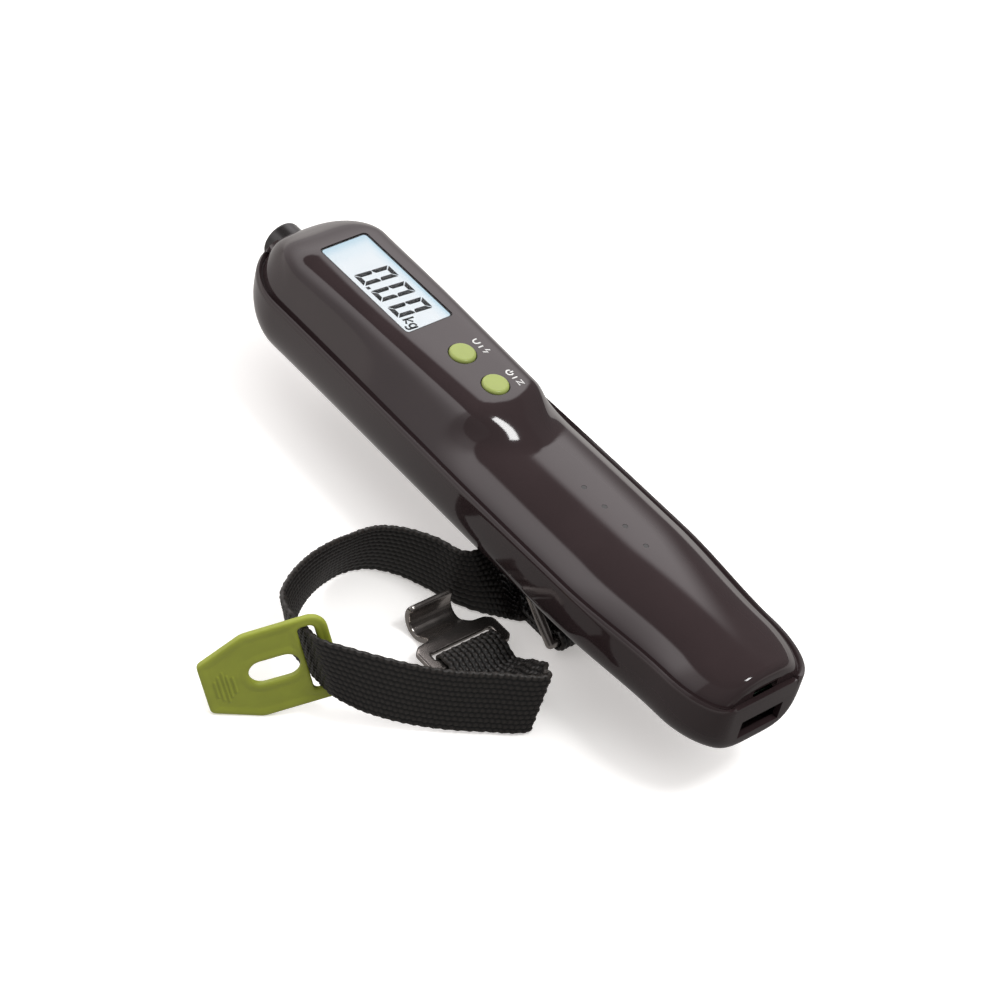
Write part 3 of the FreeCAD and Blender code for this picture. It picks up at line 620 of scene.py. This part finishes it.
def top_height(x, y):
    """Height of the upper shell over (x, y)."""
    low, high = 0.0, math.pi / 2
    for _ in range(40):
        a = (low + high) / 2
        if upper_radius(x, a) * math.cos(a) > abs(y):
            low = a
        else:
            high = a
    return SEAM_Z + upper_radius(x, low) * math.sin(low)


# ---------------------------------------------------------------- the display

def display_glow():
    """Pale backlight that turns bluer towards the far edge and the head end."""
    material = bpy.data.materials.new("display_glow")
    material.use_nodes = True
    tree = material.node_tree
    shader = tree.nodes["Principled BSDF"]
    coords = add_node(tree, "ShaderNodeTexCoord")
    split = add_node(tree, "ShaderNodeSeparateXYZ")
    tree.links.new(coords.outputs["Object"], split.inputs[0])
    across = add_node(tree, "ShaderNodeMapRange", interpolation_type="SMOOTHSTEP")
    along = add_node(tree, "ShaderNodeMapRange", interpolation_type="SMOOTHSTEP")
    for item, out, low, high in ((across, "Y", 3.0, 8.2), (along, "X", -86.0, -97.5)):
        item.inputs["From Min"].default_value = low * MM
        item.inputs["From Max"].default_value = high * MM
        tree.links.new(split.outputs[out], item.inputs["Value"])
    both = add_node(tree, "ShaderNodeMath", operation="MAXIMUM")
    tree.links.new(across.outputs[0], both.inputs[0])
    tree.links.new(along.outputs[0], both.inputs[1])
    patches = add_node(tree, "ShaderNodeTexNoise")
    patches.inputs["Scale"].default_value = 90
    tree.links.new(coords.outputs["Object"], patches.inputs["Vector"])
    wander = add_node(tree, "ShaderNodeMath", operation="MULTIPLY_ADD")
    wander.inputs[1].default_value = 0.08
    tree.links.new(patches.outputs["Fac"], wander.inputs[0])
    tree.links.new(both.outputs[0], wander.inputs[2])
    tint = ramp(tree, [(0.0, (0.86, 0.92, 0.96)), (0.45, (0.78, 0.88, 0.94)), (1.0, (0.50, 0.71, 0.83))])
    tree.links.new(wander.outputs[0], tint.inputs[0])
    dimmed = add_node(tree, "ShaderNodeVectorMath", operation="SCALE")
    dimmed.inputs["Scale"].default_value = 0.5
    tree.links.new(tint.outputs[0], dimmed.inputs[0])
    tree.links.new(dimmed.outputs[0], shader.inputs["Base Color"])
    tree.links.new(tint.outputs[0], shader.inputs["Emission Color"])
    shader.inputs["Emission Strength"].default_value = 0.5
    shader.inputs["Roughness"].default_value = 0.35
    return material


def cover_glass():
    """Clear acrylic: lets the display through and keeps a thin gloss."""
    material = bpy.data.materials.new("cover_glass")
    material.use_nodes = True
    tree = material.node_tree
    shader = tree.nodes["Principled BSDF"]
    coords = add_node(tree, "ShaderNodeTexCoord")
    smears = add_node(tree, "ShaderNodeTexNoise")
    smears.inputs["Scale"].default_value = 160
    tree.links.new(coords.outputs["Object"], smears.inputs["Vector"])
    gloss = add_node(tree, "ShaderNodeMapRange")
    gloss.inputs["To Min"].default_value = 0.02
    gloss.inputs["To Max"].default_value = 0.06
    tree.links.new(smears.outputs["Fac"], gloss.inputs["Value"])
    tree.links.new(gloss.outputs[0], shader.inputs["Roughness"])
    shader.inputs["Base Color"].default_value = (0.02, 0.022, 0.024, 1)
    shader.inputs["IOR"].default_value = 1.45
    shader.inputs["Alpha"].default_value = 0.07
    return material


INK = surface("display_ink", (0.018, 0.02, 0.022), drift=0.1, roughness=0.4, grain=0.0005)
PRINT = surface("white_print", (0.82, 0.82, 0.80), drift=0.03, roughness=0.45, grain=0.001)
GLOW_FACE = display_glow()
COVER = cover_glass()
GASKET = surface("gasket_black", (0.008, 0.008, 0.008), drift=0.2, roughness=0.5, grain=0.004)



def window_outline(inset, r):
    x0, x1, y0, y1 = WINDOW
    return rounded_rectangle(x0 + inset, x1 - inset, y0 + inset, y1 - inset, r)


PANEL_LOW, PANEL_TOP = 40.1, 44.42
COVER_LOW, COVER_TOP = 44.52, 44.74
GASKET_LOW, GASKET_TOP = 43.2, 44.5

panel = mesh_object("display_panel", *prism(window_outline(0.45, 0.9), PANEL_LOW, PANEL_TOP), GLOW_FACE, 30)
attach(panel, "handle")
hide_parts("lcd_glass")

cover = mesh_object("display_cover", *prism(window_outline(0.12, 1.1), COVER_LOW, COVER_TOP), COVER, 30)
bevel = cover.modifiers.new("edge", "BEVEL")
bevel.width = 0.08 * MM
bevel.segments = 2
apply_modifiers(cover)
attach(cover, "handle")
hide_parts("display_window")


def ring_prism(outer, inner, low, high):
    """A flat ring between two outlines with the same number of points."""
    n = len(outer)
    points = [(x, y, z) for z in (low, high) for loop in (outer, inner) for x, y in loop]
    faces = []
    for i in range(n):
        j = (i + 1) % n
        faces += [(i, n + i, n + j, j), (2 * n + i, 2 * n + j, 3 * n + j, 3 * n + i),
                  (i, j, 2 * n + j, 2 * n + i), (n + i, 3 * n + i, 3 * n + j, n + j)]
    return points, faces


gasket = mesh_object("display_gasket", *ring_prism(
    window_outline(0.02, 1.2), window_outline(0.42, 0.9), GASKET_LOW, GASKET_TOP), GASKET, 30)
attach(gasket, "handle")

DIGIT_W, DIGIT_H, BAR, GAP = 4.4, 10.4, 1.3, 0.13
DIGIT_LEFT = (-83.75, -77.15, -70.6)
DIGIT_FOOT = -5.65
SLANT = 0.085
INK_LOW, INK_HIGH = PANEL_TOP, PANEL_TOP + 0.04


def zero_segments():
    """The six bars of a seven-segment nought, upright, from its lower left."""
    w, h, t, g, m = DIGIT_W, DIGIT_H, BAR, GAP, DIGIT_H / 2
    top = [(2 * g, h), (t + g, h - t), (w - t - g, h - t), (w - 2 * g, h)]
    left = [(0, h - 2 * g), (0, m + g), (t * 0.5, m + g), (t, m + t * 0.5), (t, h - t - g)]
    bars = [top, [(x, h - y) for x, y in top]]
    for points in (left, [(x, h - y) for x, y in left]):
        bars += [points, [(w - x, y) for x, y in points]]
    return bars


parts = []
for left in DIGIT_LEFT:
    for bar in zero_segments():
        outline = [(left + x + SLANT * y, DIGIT_FOOT + y) for x, y in bar]
        parts.append(prism(outline, INK_LOW, INK_HIGH))
dot = [(-78.85, -5.7), (-77.95, -5.7), (-77.85, -4.75), (-78.75, -4.75)]
parts.append(prism(dot, INK_LOW, INK_HIGH))
digits = mesh_object("display_digits", *joined(parts), INK)
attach(digits, "handle")


def stroke(points, width, height_at, thick=0.03):
    """A printed line through (x, y) points, lying on a surface."""
    found = []
    for i, (x, y) in enumerate(points):
        ax, ay = points[max(i - 1, 0)]
        bx, by = points[min(i + 1, len(points) - 1)]
        dx, dy = bx - ax, by - ay
        size = math.hypot(dx, dy)
        nx, ny = -dy / size * width / 2, dx / size * width / 2
        for side in (1, -1):
            px, py = x + side * nx, y + side * ny
            z = height_at(px, py)
            found += [(px, py, z - 0.02), (px, py, z + thick)]
    faces = [(0, 2, 3, 1)]
    for i in range(len(points) - 1):
        a, b = 4 * i, 4 * i + 4
        faces += [(a + 1, a + 3, b + 3, b + 1), (a, b, b + 2, a + 2),
                  (a, a + 1, b + 1, b), (a + 2, b + 2, b + 3, a + 3)]
    last = 4 * (len(points) - 1)
    faces.append((last, last + 1, last + 3, last + 2))
    return found, faces


def curve_points(cx, cy, rx, ry, start, stop, steps=14):
    return [(cx + rx * math.cos(math.radians(mix(start, stop, i / steps))),
             cy + ry * math.sin(math.radians(mix(start, stop, i / steps)))) for i in range(steps + 1)]


def at_ink(x, y):
    return INK_HIGH - 0.02


LETTER = 0.52
unit_strokes = [
    [(-65.05, -5.2), (-64.8, -1.95)],
    [(-63.5, -3.05), (-64.95, -4.25), (-63.6, -5.2)],
    curve_points(-62.35, -4.15, 0.72, 0.92, 60, 400),
    [(-61.55, -3.2), (-61.7, -5.65)] + curve_points(-62.4, -5.65, 0.7, 0.55, 0, -150, 8)[1:],
]
unit = mesh_object("display_unit", *joined([stroke(p, LETTER, at_ink) for p in unit_strokes]), INK)
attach(unit, "handle")

MARK = 0.4
mark_strokes = [
    [(-51.05, 6.75)] + curve_points(-50.3, 6.0, 0.72, 0.85, 180, 360) + [(-49.5, 6.75)],
    [(-48.3, 6.55), (-48.3, 5.0)],
    [(-46.35, 7.15), (-46.95, 6.05), (-45.95, 6.15), (-46.6, 4.95)],
    curve_points(-37.75, 6.05, 0.85, 0.85, 130, 410),
    [(-37.75, 7.2), (-37.75, 6.15)],
    [(-35.75, 6.85), (-35.75, 5.2)],
    [(-34.55, 6.9), (-33.05, 6.9), (-34.55, 5.4), (-33.0, 5.4)],
]
marks = mesh_object("key_marks", *joined([stroke(p, MARK, top_height) for p in mark_strokes]), PRINT)
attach(marks, "handle")

# ---------------------------------------------------------------- webbing

WEB_W = 18.0
WEB_T = 1.5
RIB = 1.5              # pitch of the ribs across the webbing
KNUCKLE = 1.5          # pitch of the bumps along a rib
SCALLOP_PITCH = 2.75   # pitch of the waves along its edges
TAB_C = Vector((-9.9, -81.4, 13.1))
TAB_ALONG = Vector((-0.429, -0.825, -0.367)).normalized()
TAB_ACROSS = Vector((0.329, 0.236, -0.915)).normalized()
TAB_LEAN = -TAB_ACROSS
TAB_EDGE = TAB_C - 9.5 * TAB_ALONG - 9.0 * TAB_LEAN
HOOK_Y = -30.2
BAIL_FOOT = (10.2, 3.0)


def place(x, y, z, ox, oy, oz):
    return Vector((x, y, z)), Vector((ox, oy, oz)).normalized()


def fold_places(cx, cy, z, r, start, stop, lean):
    """Places round a tight upright fold."""
    found = []
    for i in range(6):
        a = math.radians(mix(start, stop, i / 5))
        found.append(place(cx + r * math.cos(a), cy + r * math.sin(a), z, *lean))
    return found


MAIN_RUN = [
    place(0.6, -8.2, 0.85, -0.85, 0.53, 0.06), place(-1.1, -10.9, 0.85, -0.85, 0.53, 0.06),
    place(-4.3, -14.2, 0.8, -0.60, 0.36, 0.72),
    place(-8.4, -17.3, 0.4, -0.28, 0.02, 0.96), place(-14.0, -20.3, 0.2, -0.02, -0.06, 1.00),
    place(-21.5, -23.2, 0.2, 0.03, -0.06, 1.00), place(-28.5, -26.7, 0.2, 0.08, -0.11, 0.99),
    place(-33.4, -31.8, 0.3, 0.16, -0.08, 0.98), place(-35.3, -38.5, 0.4, 0.20, 0.06, 0.98),
    place(-34.4, -45.3, 1.0, 0.15, 0.20, 0.96), place(-31.0, -53.3, 3.0, 0.02, 0.26, 0.96),
    place(-26.0, -61.0, 4.8, -0.12, 0.14, 0.96), place(-20.0, -67.4, 6.4, -0.22, -0.04, 0.96),
    place(-14.2, -70.7, 7.8, -0.30, -0.18, 0.93),
    (TAB_EDGE + Vector((-6.3, 0, 0)), TAB_LEAN), (TAB_EDGE + Vector((-3.0, 0, 0)), TAB_LEAN),
    (TAB_EDGE + Vector((0.6, 0, 0)), TAB_LEAN), (TAB_EDGE + Vector((3.4, 0.1, 0)), TAB_LEAN),
    place(5.4, -67.4, 6.0, -0.24, -0.10, 0.97), place(9.6, -61.4, 3.4, -0.10, 0.03, 0.99),
    place(15.2, -52.4, 0.9, -0.06, 0.10, 0.99), place(22.4, -41.4, 0.3, -0.09, 0.09, 0.99),
] + fold_places(26.85, -32.3, 0.3, 0.72, -33, 147, (-0.03, 0.14, 0.99)) + [
    place(24.5, -33.6, 0.5, -0.05, 0.36, 0.93), place(19.0, -38.4, 1.0, 0.00, 0.75, 0.66),
    place(13.6, -39.2, 2.2, 0.02, 0.97, 0.24),
]


def smooth_run(places, step=0.2):
    """Even places along a smooth curve through the given ones."""
    points, leans = [p for p, _ in places], [o for _, o in places]
    gaps = [(b - a).length for a, b in zip(points, points[1:])]

    def tangent(values, i):
        if i == 0:
            return (values[1] - values[0]) / gaps[0]
        if i == len(values) - 1:
            return (values[-1] - values[-2]) / gaps[-1]
        before = (values[i] - values[i - 1]) / gaps[i - 1]
        after = (values[i + 1] - values[i]) / gaps[i]
        return (gaps[i] * before + gaps[i - 1] * after) / (gaps[i - 1] + gaps[i])

    fine = []
    for i, gap in enumerate(gaps):
        count = max(int(gap / 0.12), 4)
        for k in range(count + (i == len(gaps) - 1)):
            t = k / count
            row = []
            for values in (points, leans):
                m0, m1 = tangent(values, i) * gap, tangent(values, i + 1) * gap
                row.append((2 * t ** 3 - 3 * t ** 2 + 1) * values[i] + (t ** 3 - 2 * t ** 2 + t) * m0
                           + (3 * t ** 2 - 2 * t ** 3) * values[i + 1] + (t ** 3 - t ** 2) * m1)
            fine.append((row[0], row[1].normalized()))
    middle = [p + o * (WEB_W / 2) for p, o in fine]
    travelled = [0.0]
    for a, b in zip(middle, middle[1:]):
        travelled.append(travelled[-1] + (b - a).length)
    count = max(int(travelled[-1] / step), 2)
    even, k = [], 0
    for i in range(count + 1):
        target = travelled[-1] * i / count
        while k < len(fine) - 2 and travelled[k + 1] < target:
            k += 1
        t = (target - travelled[k]) / max(travelled[k + 1] - travelled[k], 1e-9)
        (p, lean), (next_p, next_lean) = fine[k], fine[k + 1]
        even.append((p.lerp(next_p, t), lean.lerp(next_lean, t).normalized(), target))
    return even


def weave(s, v):
    """Height of the weave at s along and v across the webbing, 0 to 1."""
    rib = math.floor(v / RIB)
    u = v / RIB - rib - 0.5
    w = s / KNUCKLE + (0.5 if rib % 2 else 0.0)
    p = w - math.floor(w) - 0.5
    knuckle = max(math.cos(math.pi * p), 0.0) ** 0.7
    return max(math.cos(math.pi * u), 0.0) ** 0.7 * (0.25 + 0.75 * knuckle)


RELIEF = 0.42          # height of the weave
EDGE_ROUND = 0.55
RIM_HALF = 0.04        # half the thickness left at the very edge
SCALLOP = 0.22         # height of the waves along the edges
WEB_COLUMNS = 96


def webbing(name, places, start=0.0, step=0.2, thick=WEB_T):
    """A woven band through places. Gives the piece and the length of its middle line in mm."""
    run = smooth_run(places, step)
    columns = [WEB_W * i / WEB_COLUMNS for i in range(WEB_COLUMNS + 1)]
    points, faces = [], []
    n = 2 * len(columns)
    for i, (edge, lean, s) in enumerate(run):
        before, after = run[max(i - 1, 0)], run[min(i + 1, len(run) - 1)]
        way = (after[0] + after[1] * WEB_W / 2) - (before[0] + before[1] * WEB_W / 2)
        face = way.cross(lean).normalized()
        bulge = SCALLOP * (0.5 + 0.5 * math.cos(2 * math.pi * (start + s) / SCALLOP_PITCH))
        for side in (1, -1):
            for v in (columns if side > 0 else reversed(columns)):
                rim = min(v, WEB_W - v) / EDGE_ROUND
                taper = math.sqrt(1 - (1 - min(rim, 1.0)) ** 2) if rim < 1 else 1.0
                at = start + s + (KNUCKLE / 2 if side < 0 else 0)
                lift = thick / 2 - RELIEF + RELIEF * weave(at, min(v, WEB_W - 1e-6))
                out = (v / WEB_W - 0.5) * 2 * (WEB_W / 2 - SCALLOP + bulge) + WEB_W / 2
                points.append(edge + lean * out + face * side * max(lift * taper, RIM_HALF))
    for i in range(len(run) - 1):
        for j in range(n):
            a, b = i * n + j, i * n + (j + 1) % n
            faces.append((a, b, b + n, a + n))
    faces.append(tuple(range(n)))
    faces.append(tuple((len(run) - 1) * n + j for j in range(n)))
    thing = mesh_object(name, points, faces, FINISH["webbing"])
    return thing, run[-1][2]


strap, strap_length = webbing("strap_run", MAIN_RUN)
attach(strap, "handle")
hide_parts("strap_far_side", "strap_at_tab", "strap_near_side", "strap_return")

HOOK_EDGE_Y = HOOK_Y - WEB_W / 2
HOOK_WRAP = [(9.4, 3.5), (7.0, 4.5), (5.0, 5.15), (2.6, 5.2), (1.15, 4.75), (0.8, 3.6), (1.15, 2.4),
             (2.6, 1.98), (5.0, 2.05), (7.2, 2.9)]
HOOK_RUN = [MAIN_RUN[-1]] + [place(x, HOOK_EDGE_Y, z, 0, 1, 0) for x, z in HOOK_WRAP]
hook_loop, hook_loop_length = webbing("strap_round_hook", HOOK_RUN, start=strap_length)
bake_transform(hook_loop)
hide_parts("strap_hook_loop")

BAIL_WRAP_R = 2.1      # from the middle of the bail's bar to the middle of the webbing
bail_wrap = [(2.0, 0.85), (6.6, 0.85)]
for turn in range(-100, 121, 20):
    bail_wrap.append((BAIL_FOOT[0] + BAIL_WRAP_R * math.cos(math.radians(turn)),
                      BAIL_FOOT[1] + BAIL_WRAP_R * math.sin(math.radians(turn))))
bail_wrap += [(6.6, 3.6), (2.0, 2.3)]
BAIL_RUN = [place(x, -WEB_W / 2, z, 0, 1, 0) for x, z in bail_wrap]
bail_loop, bail_loop_length = webbing("strap_round_bail", BAIL_RUN, thick=1.4)
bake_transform(bail_loop)
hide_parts("strap_bail_loop")

FOOT_X = 6.0                   # where the sewn end starts
FOOT_LAYERS = (0.78, 2.32)     # middle heights of its two layers
FOOT_HALF = 0.72
FOOT_EDGE = [(-9.9, -0.4), (-0.6, -15.5), (1.5, -15.0), (9.0, -8.5)]      # y and where the end lies at it


def foot_end(y):
    """Where the sewn end stops at y."""
    for (y0, x0), (y1, x1) in zip(FOOT_EDGE, FOOT_EDGE[1:]):
        if y <= y1:
            return mix(x0, x1, (y - y0) / (y1 - y0))
    return FOOT_EDGE[-1][1]


def foot_layer(middle):
    """One layer of the sewn end, as points and faces."""
    rows = 90
    points, faces = [], []
    n = 2 * (WEB_COLUMNS + 1)
    for i in range(rows + 1):
        for side in (1, -1):
            columns = range(WEB_COLUMNS + 1) if side > 0 else range(WEB_COLUMNS, -1, -1)
            for j in columns:
                v = WEB_W * j / WEB_COLUMNS
                y = v - WEB_W / 2
                x = mix(FOOT_X, foot_end(y), i / rows)
                rim = min(v, WEB_W - v, abs(FOOT_X - x) + 0.1, abs(x - foot_end(y)) + 0.1) / EDGE_ROUND
                taper = math.sqrt(1 - (1 - min(rim, 1.0)) ** 2)
                lift = FOOT_HALF - RELIEF + RELIEF * weave(FOOT_X - x, min(v, WEB_W - 1e-6))
                points.append((x, y, middle + side * max(lift * taper, RIM_HALF)))
    for i in range(rows):
        for j in range(n):
            a, b = i * n + j, i * n + (j + 1) % n
            faces.append((a, b, b + n, a + n))
    faces.append(tuple(range(n)))
    faces.append(tuple(rows * n + j for j in range(n)))
    return points, faces


foot = mesh_object("strap_sewn_end", *joined([foot_layer(z) for z in FOOT_LAYERS]), FINISH["webbing"])
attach(foot, "handle")
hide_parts("strap_foot")


# ---------------------------------------------------------------- the pull tab

def rounded_outline(corners, steps=7):
    """Outline with each (x, y, radius) corner rounded."""
    found = []
    n = len(corners)
    for i, (x, y, r) in enumerate(corners):
        here = Vector((x, y))
        to_last = (Vector(corners[i - 1][:2]) - here).normalized()
        to_next = (Vector(corners[(i + 1) % n][:2]) - here).normalized()
        half = math.acos(max(min(to_last.dot(to_next), 1.0), -1.0)) / 2
        reach = r / math.tan(half)
        centre = here + (to_last + to_next).normalized() * (r / math.sin(half))
        a, b = here + to_last * reach - centre, here + to_next * reach - centre
        for k in range(steps + 1):
            t = k / steps
            found.append(tuple(centre + (a * (1 - t) + b * t).normalized() * r))
    return found


def soft_plate(name, outlines, thick, bevel, voxel, finish, smoothing=6):
    """A plate with round edges as an evenly meshed solid. The first outline is the outer one."""
    data = bpy.data.curves.new(name, "CURVE")
    data.dimensions = "2D"
    data.fill_mode = "BOTH"
    data.extrude = (thick / 2 - bevel) * MM
    data.bevel_depth = bevel * MM
    data.bevel_resolution = 3
    data.offset = -bevel * MM
    for outline in outlines:
        line = data.splines.new("POLY")
        line.points.add(len(outline) - 1)
        for point, (x, y) in zip(line.points, outline):
            point.co = (x * MM, y * MM, 0, 1)
        line.use_cyclic_u = True
    curve = bpy.data.objects.new(name, data)
    bpy.context.scene.collection.objects.link(curve)
    bpy.context.view_layer.update()
    graph = bpy.context.evaluated_depsgraph_get()
    mesh = bpy.data.meshes.new_from_object(curve.evaluated_get(graph))
    bpy.data.objects.remove(curve)
    thing = bpy.data.objects.new(name, mesh)
    bpy.context.scene.collection.objects.link(thing)
    clean(thing, weld=1e-5)
    even = thing.modifiers.new("even", "REMESH")
    even.mode = "VOXEL"
    even.voxel_size = voxel * MM
    soften = thing.modifiers.new("soften", "SMOOTH")
    soften.iterations = smoothing
    soften.factor = 0.5
    apply_modifiers(thing)
    thing.data.materials.clear()
    thing.data.materials.append(finish)
    thing.data.shade_smooth()
    return thing


def reshape(thing, shift):
    """Moves each point of a piece; shift takes and gives mm."""
    for vertex in thing.data.vertices:
        vertex.co = shift(vertex.co / MM) * MM
    thing.data.update()


TAB_OUTLINE = rounded_outline([
    (16.9, -6.6, 1.6), (16.9, 7.3, 1.5), (5.4, 12.3, 5.0), (-14.4, 12.1, 2.8), (-14.4, -11.9, 4.2),
    (5.2, -11.6, 5.0)])
TAB_STRAP_SLOT = rounded_outline([(-7.4, -9.4, 1.2), (-7.4, 9.1, 1.2), (-11.4, 9.1, 1.2), (-11.4, -9.4, 1.2)])
TAB_FINGER_SLOT = rounded_outline([
    (6.0, -3.2, 3.15), (6.0, 3.2, 3.15), (-6.1, 3.2, 3.15), (-6.1, -3.2, 3.15)])
TAB_RIBS = [(14.0, 2.2), (12.95, 3.4), (11.8, 4.3), (10.95, 3.0), (9.75, 2.2)]


def near_edge(u, w, outline):
    """Distance from (u, w) to an outline."""
    best = 1e9
    for (ax, ay), (bx, by) in zip(outline, outline[1:] + outline[:1]):
        dx, dy = bx - ax, by - ay
        span = max(dx * dx + dy * dy, 1e-12)
        t = min(max(((u - ax) * dx + (w - ay) * dy) / span, 0.0), 1.0)
        best = min(best, math.hypot(u - ax - t * dx, w - ay - t * dy))
    return best


def tab_shape(point):
    """Dishes the faces, raises the ribs and lays the tab in its place."""
    u, w, n = point
    side = 1.0 if n > 0 else -1.0
    full = ease((abs(n) - 0.45) / 0.3)
    rim = min(near_edge(u, w, TAB_OUTLINE), near_edge(u, w, TAB_FINGER_SLOT), near_edge(u, w, TAB_STRAP_SLOT))
    n -= side * full * 0.22 * ease((rim - 0.9) / 1.6)
    for at, half in TAB_RIBS:
        beyond = max(abs(w - 1.1) - half, 0.0)
        n += side * full * 0.32 * ease(1 - math.hypot((u - at) / 0.42, beyond / 0.42))
    return TAB_C + TAB_ALONG * u + TAB_ACROSS * w + TAB_ALONG.cross(TAB_ACROSS).normalized() * n


tab = soft_plate("tab_soft", [TAB_OUTLINE, TAB_STRAP_SLOT, TAB_FINGER_SLOT],
                 thick=1.9, bevel=0.55, voxel=0.2, finish=FINISH["tab_rubber"])
reshape(tab, tab_shape)
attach(tab, "pull_tab")
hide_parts("pull_tab")


# ---------------------------------------------------------------- the hook

HOOK_PATH = [(4.6, 3.6), (0.0, 3.6), (-3.4, 3.6), (-4.9, 3.25), (-6.2, 2.3), (-7.5, 1.3), (-9.2, 0.9),
             (-11.3, 1.45), (-12.8, 3.1), (-13.35, 5.0), (-13.1, 6.6), (-12.5, 7.7)]
HOOK_FLAT = rounded_outline([
    (0, -11.0, 0.8), (1.2, -12.3, 1.0), (7.4, -12.3, 1.6), (8.9, -10.4, 1.6), (9.4, -6.5, 1.2),
    (13.0, -6.6, 8), (23.6, -7.0, 1.4), (23.6, 7.0, 1.4), (13.0, 6.6, 8), (9.4, 6.5, 1.2),
    (8.9, 10.4, 1.6), (7.4, 12.3, 1.6), (1.2, 12.3, 1.0), (0, 11.0, 0.8)])
HOOK_SLOT = rounded_outline([(3.0, -9.4, 0.8), (5.5, -9.4, 0.8), (5.5, 9.4, 0.8), (3.0, 9.4, 0.8)])


def along_path(s):
    """Point at s along the hook's bent path."""
    for (ax, az), (bx, bz) in zip(HOOK_PATH, HOOK_PATH[1:]):
        size = math.hypot(bx - ax, bz - az)
        if s <= size or (bx, bz) == HOOK_PATH[-1]:
            return ax + (bx - ax) * s / size, az + (bz - az) * s / size
        s -= size


BEND_EASE = 0.9        # each bend is eased over this much of the path to either side


def hook_shape(point):
    """Bends the flat pressing along its path."""
    s, y, n = point
    x, z = along_path(s)
    bx, bz = along_path(s - BEND_EASE)
    fx, fz = along_path(s + BEND_EASE)
    size = math.hypot(fx - bx, fz - bz)
    x = (bx + 2 * x + fx) / 4
    z = (bz + 2 * z + fz) / 4
    return Vector((x + n * (fz - bz) / size, HOOK_Y + y, z - n * (fx - bx) / size))


hook = soft_plate("hook_plate_round", [HOOK_FLAT, HOOK_SLOT],
                  thick=1.5, bevel=0.4, voxel=0.2, finish=FINISH["steel"], smoothing=4)
reshape(hook, hook_shape)
clean(hook)
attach(hook, "hook")
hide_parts("hook_plate")
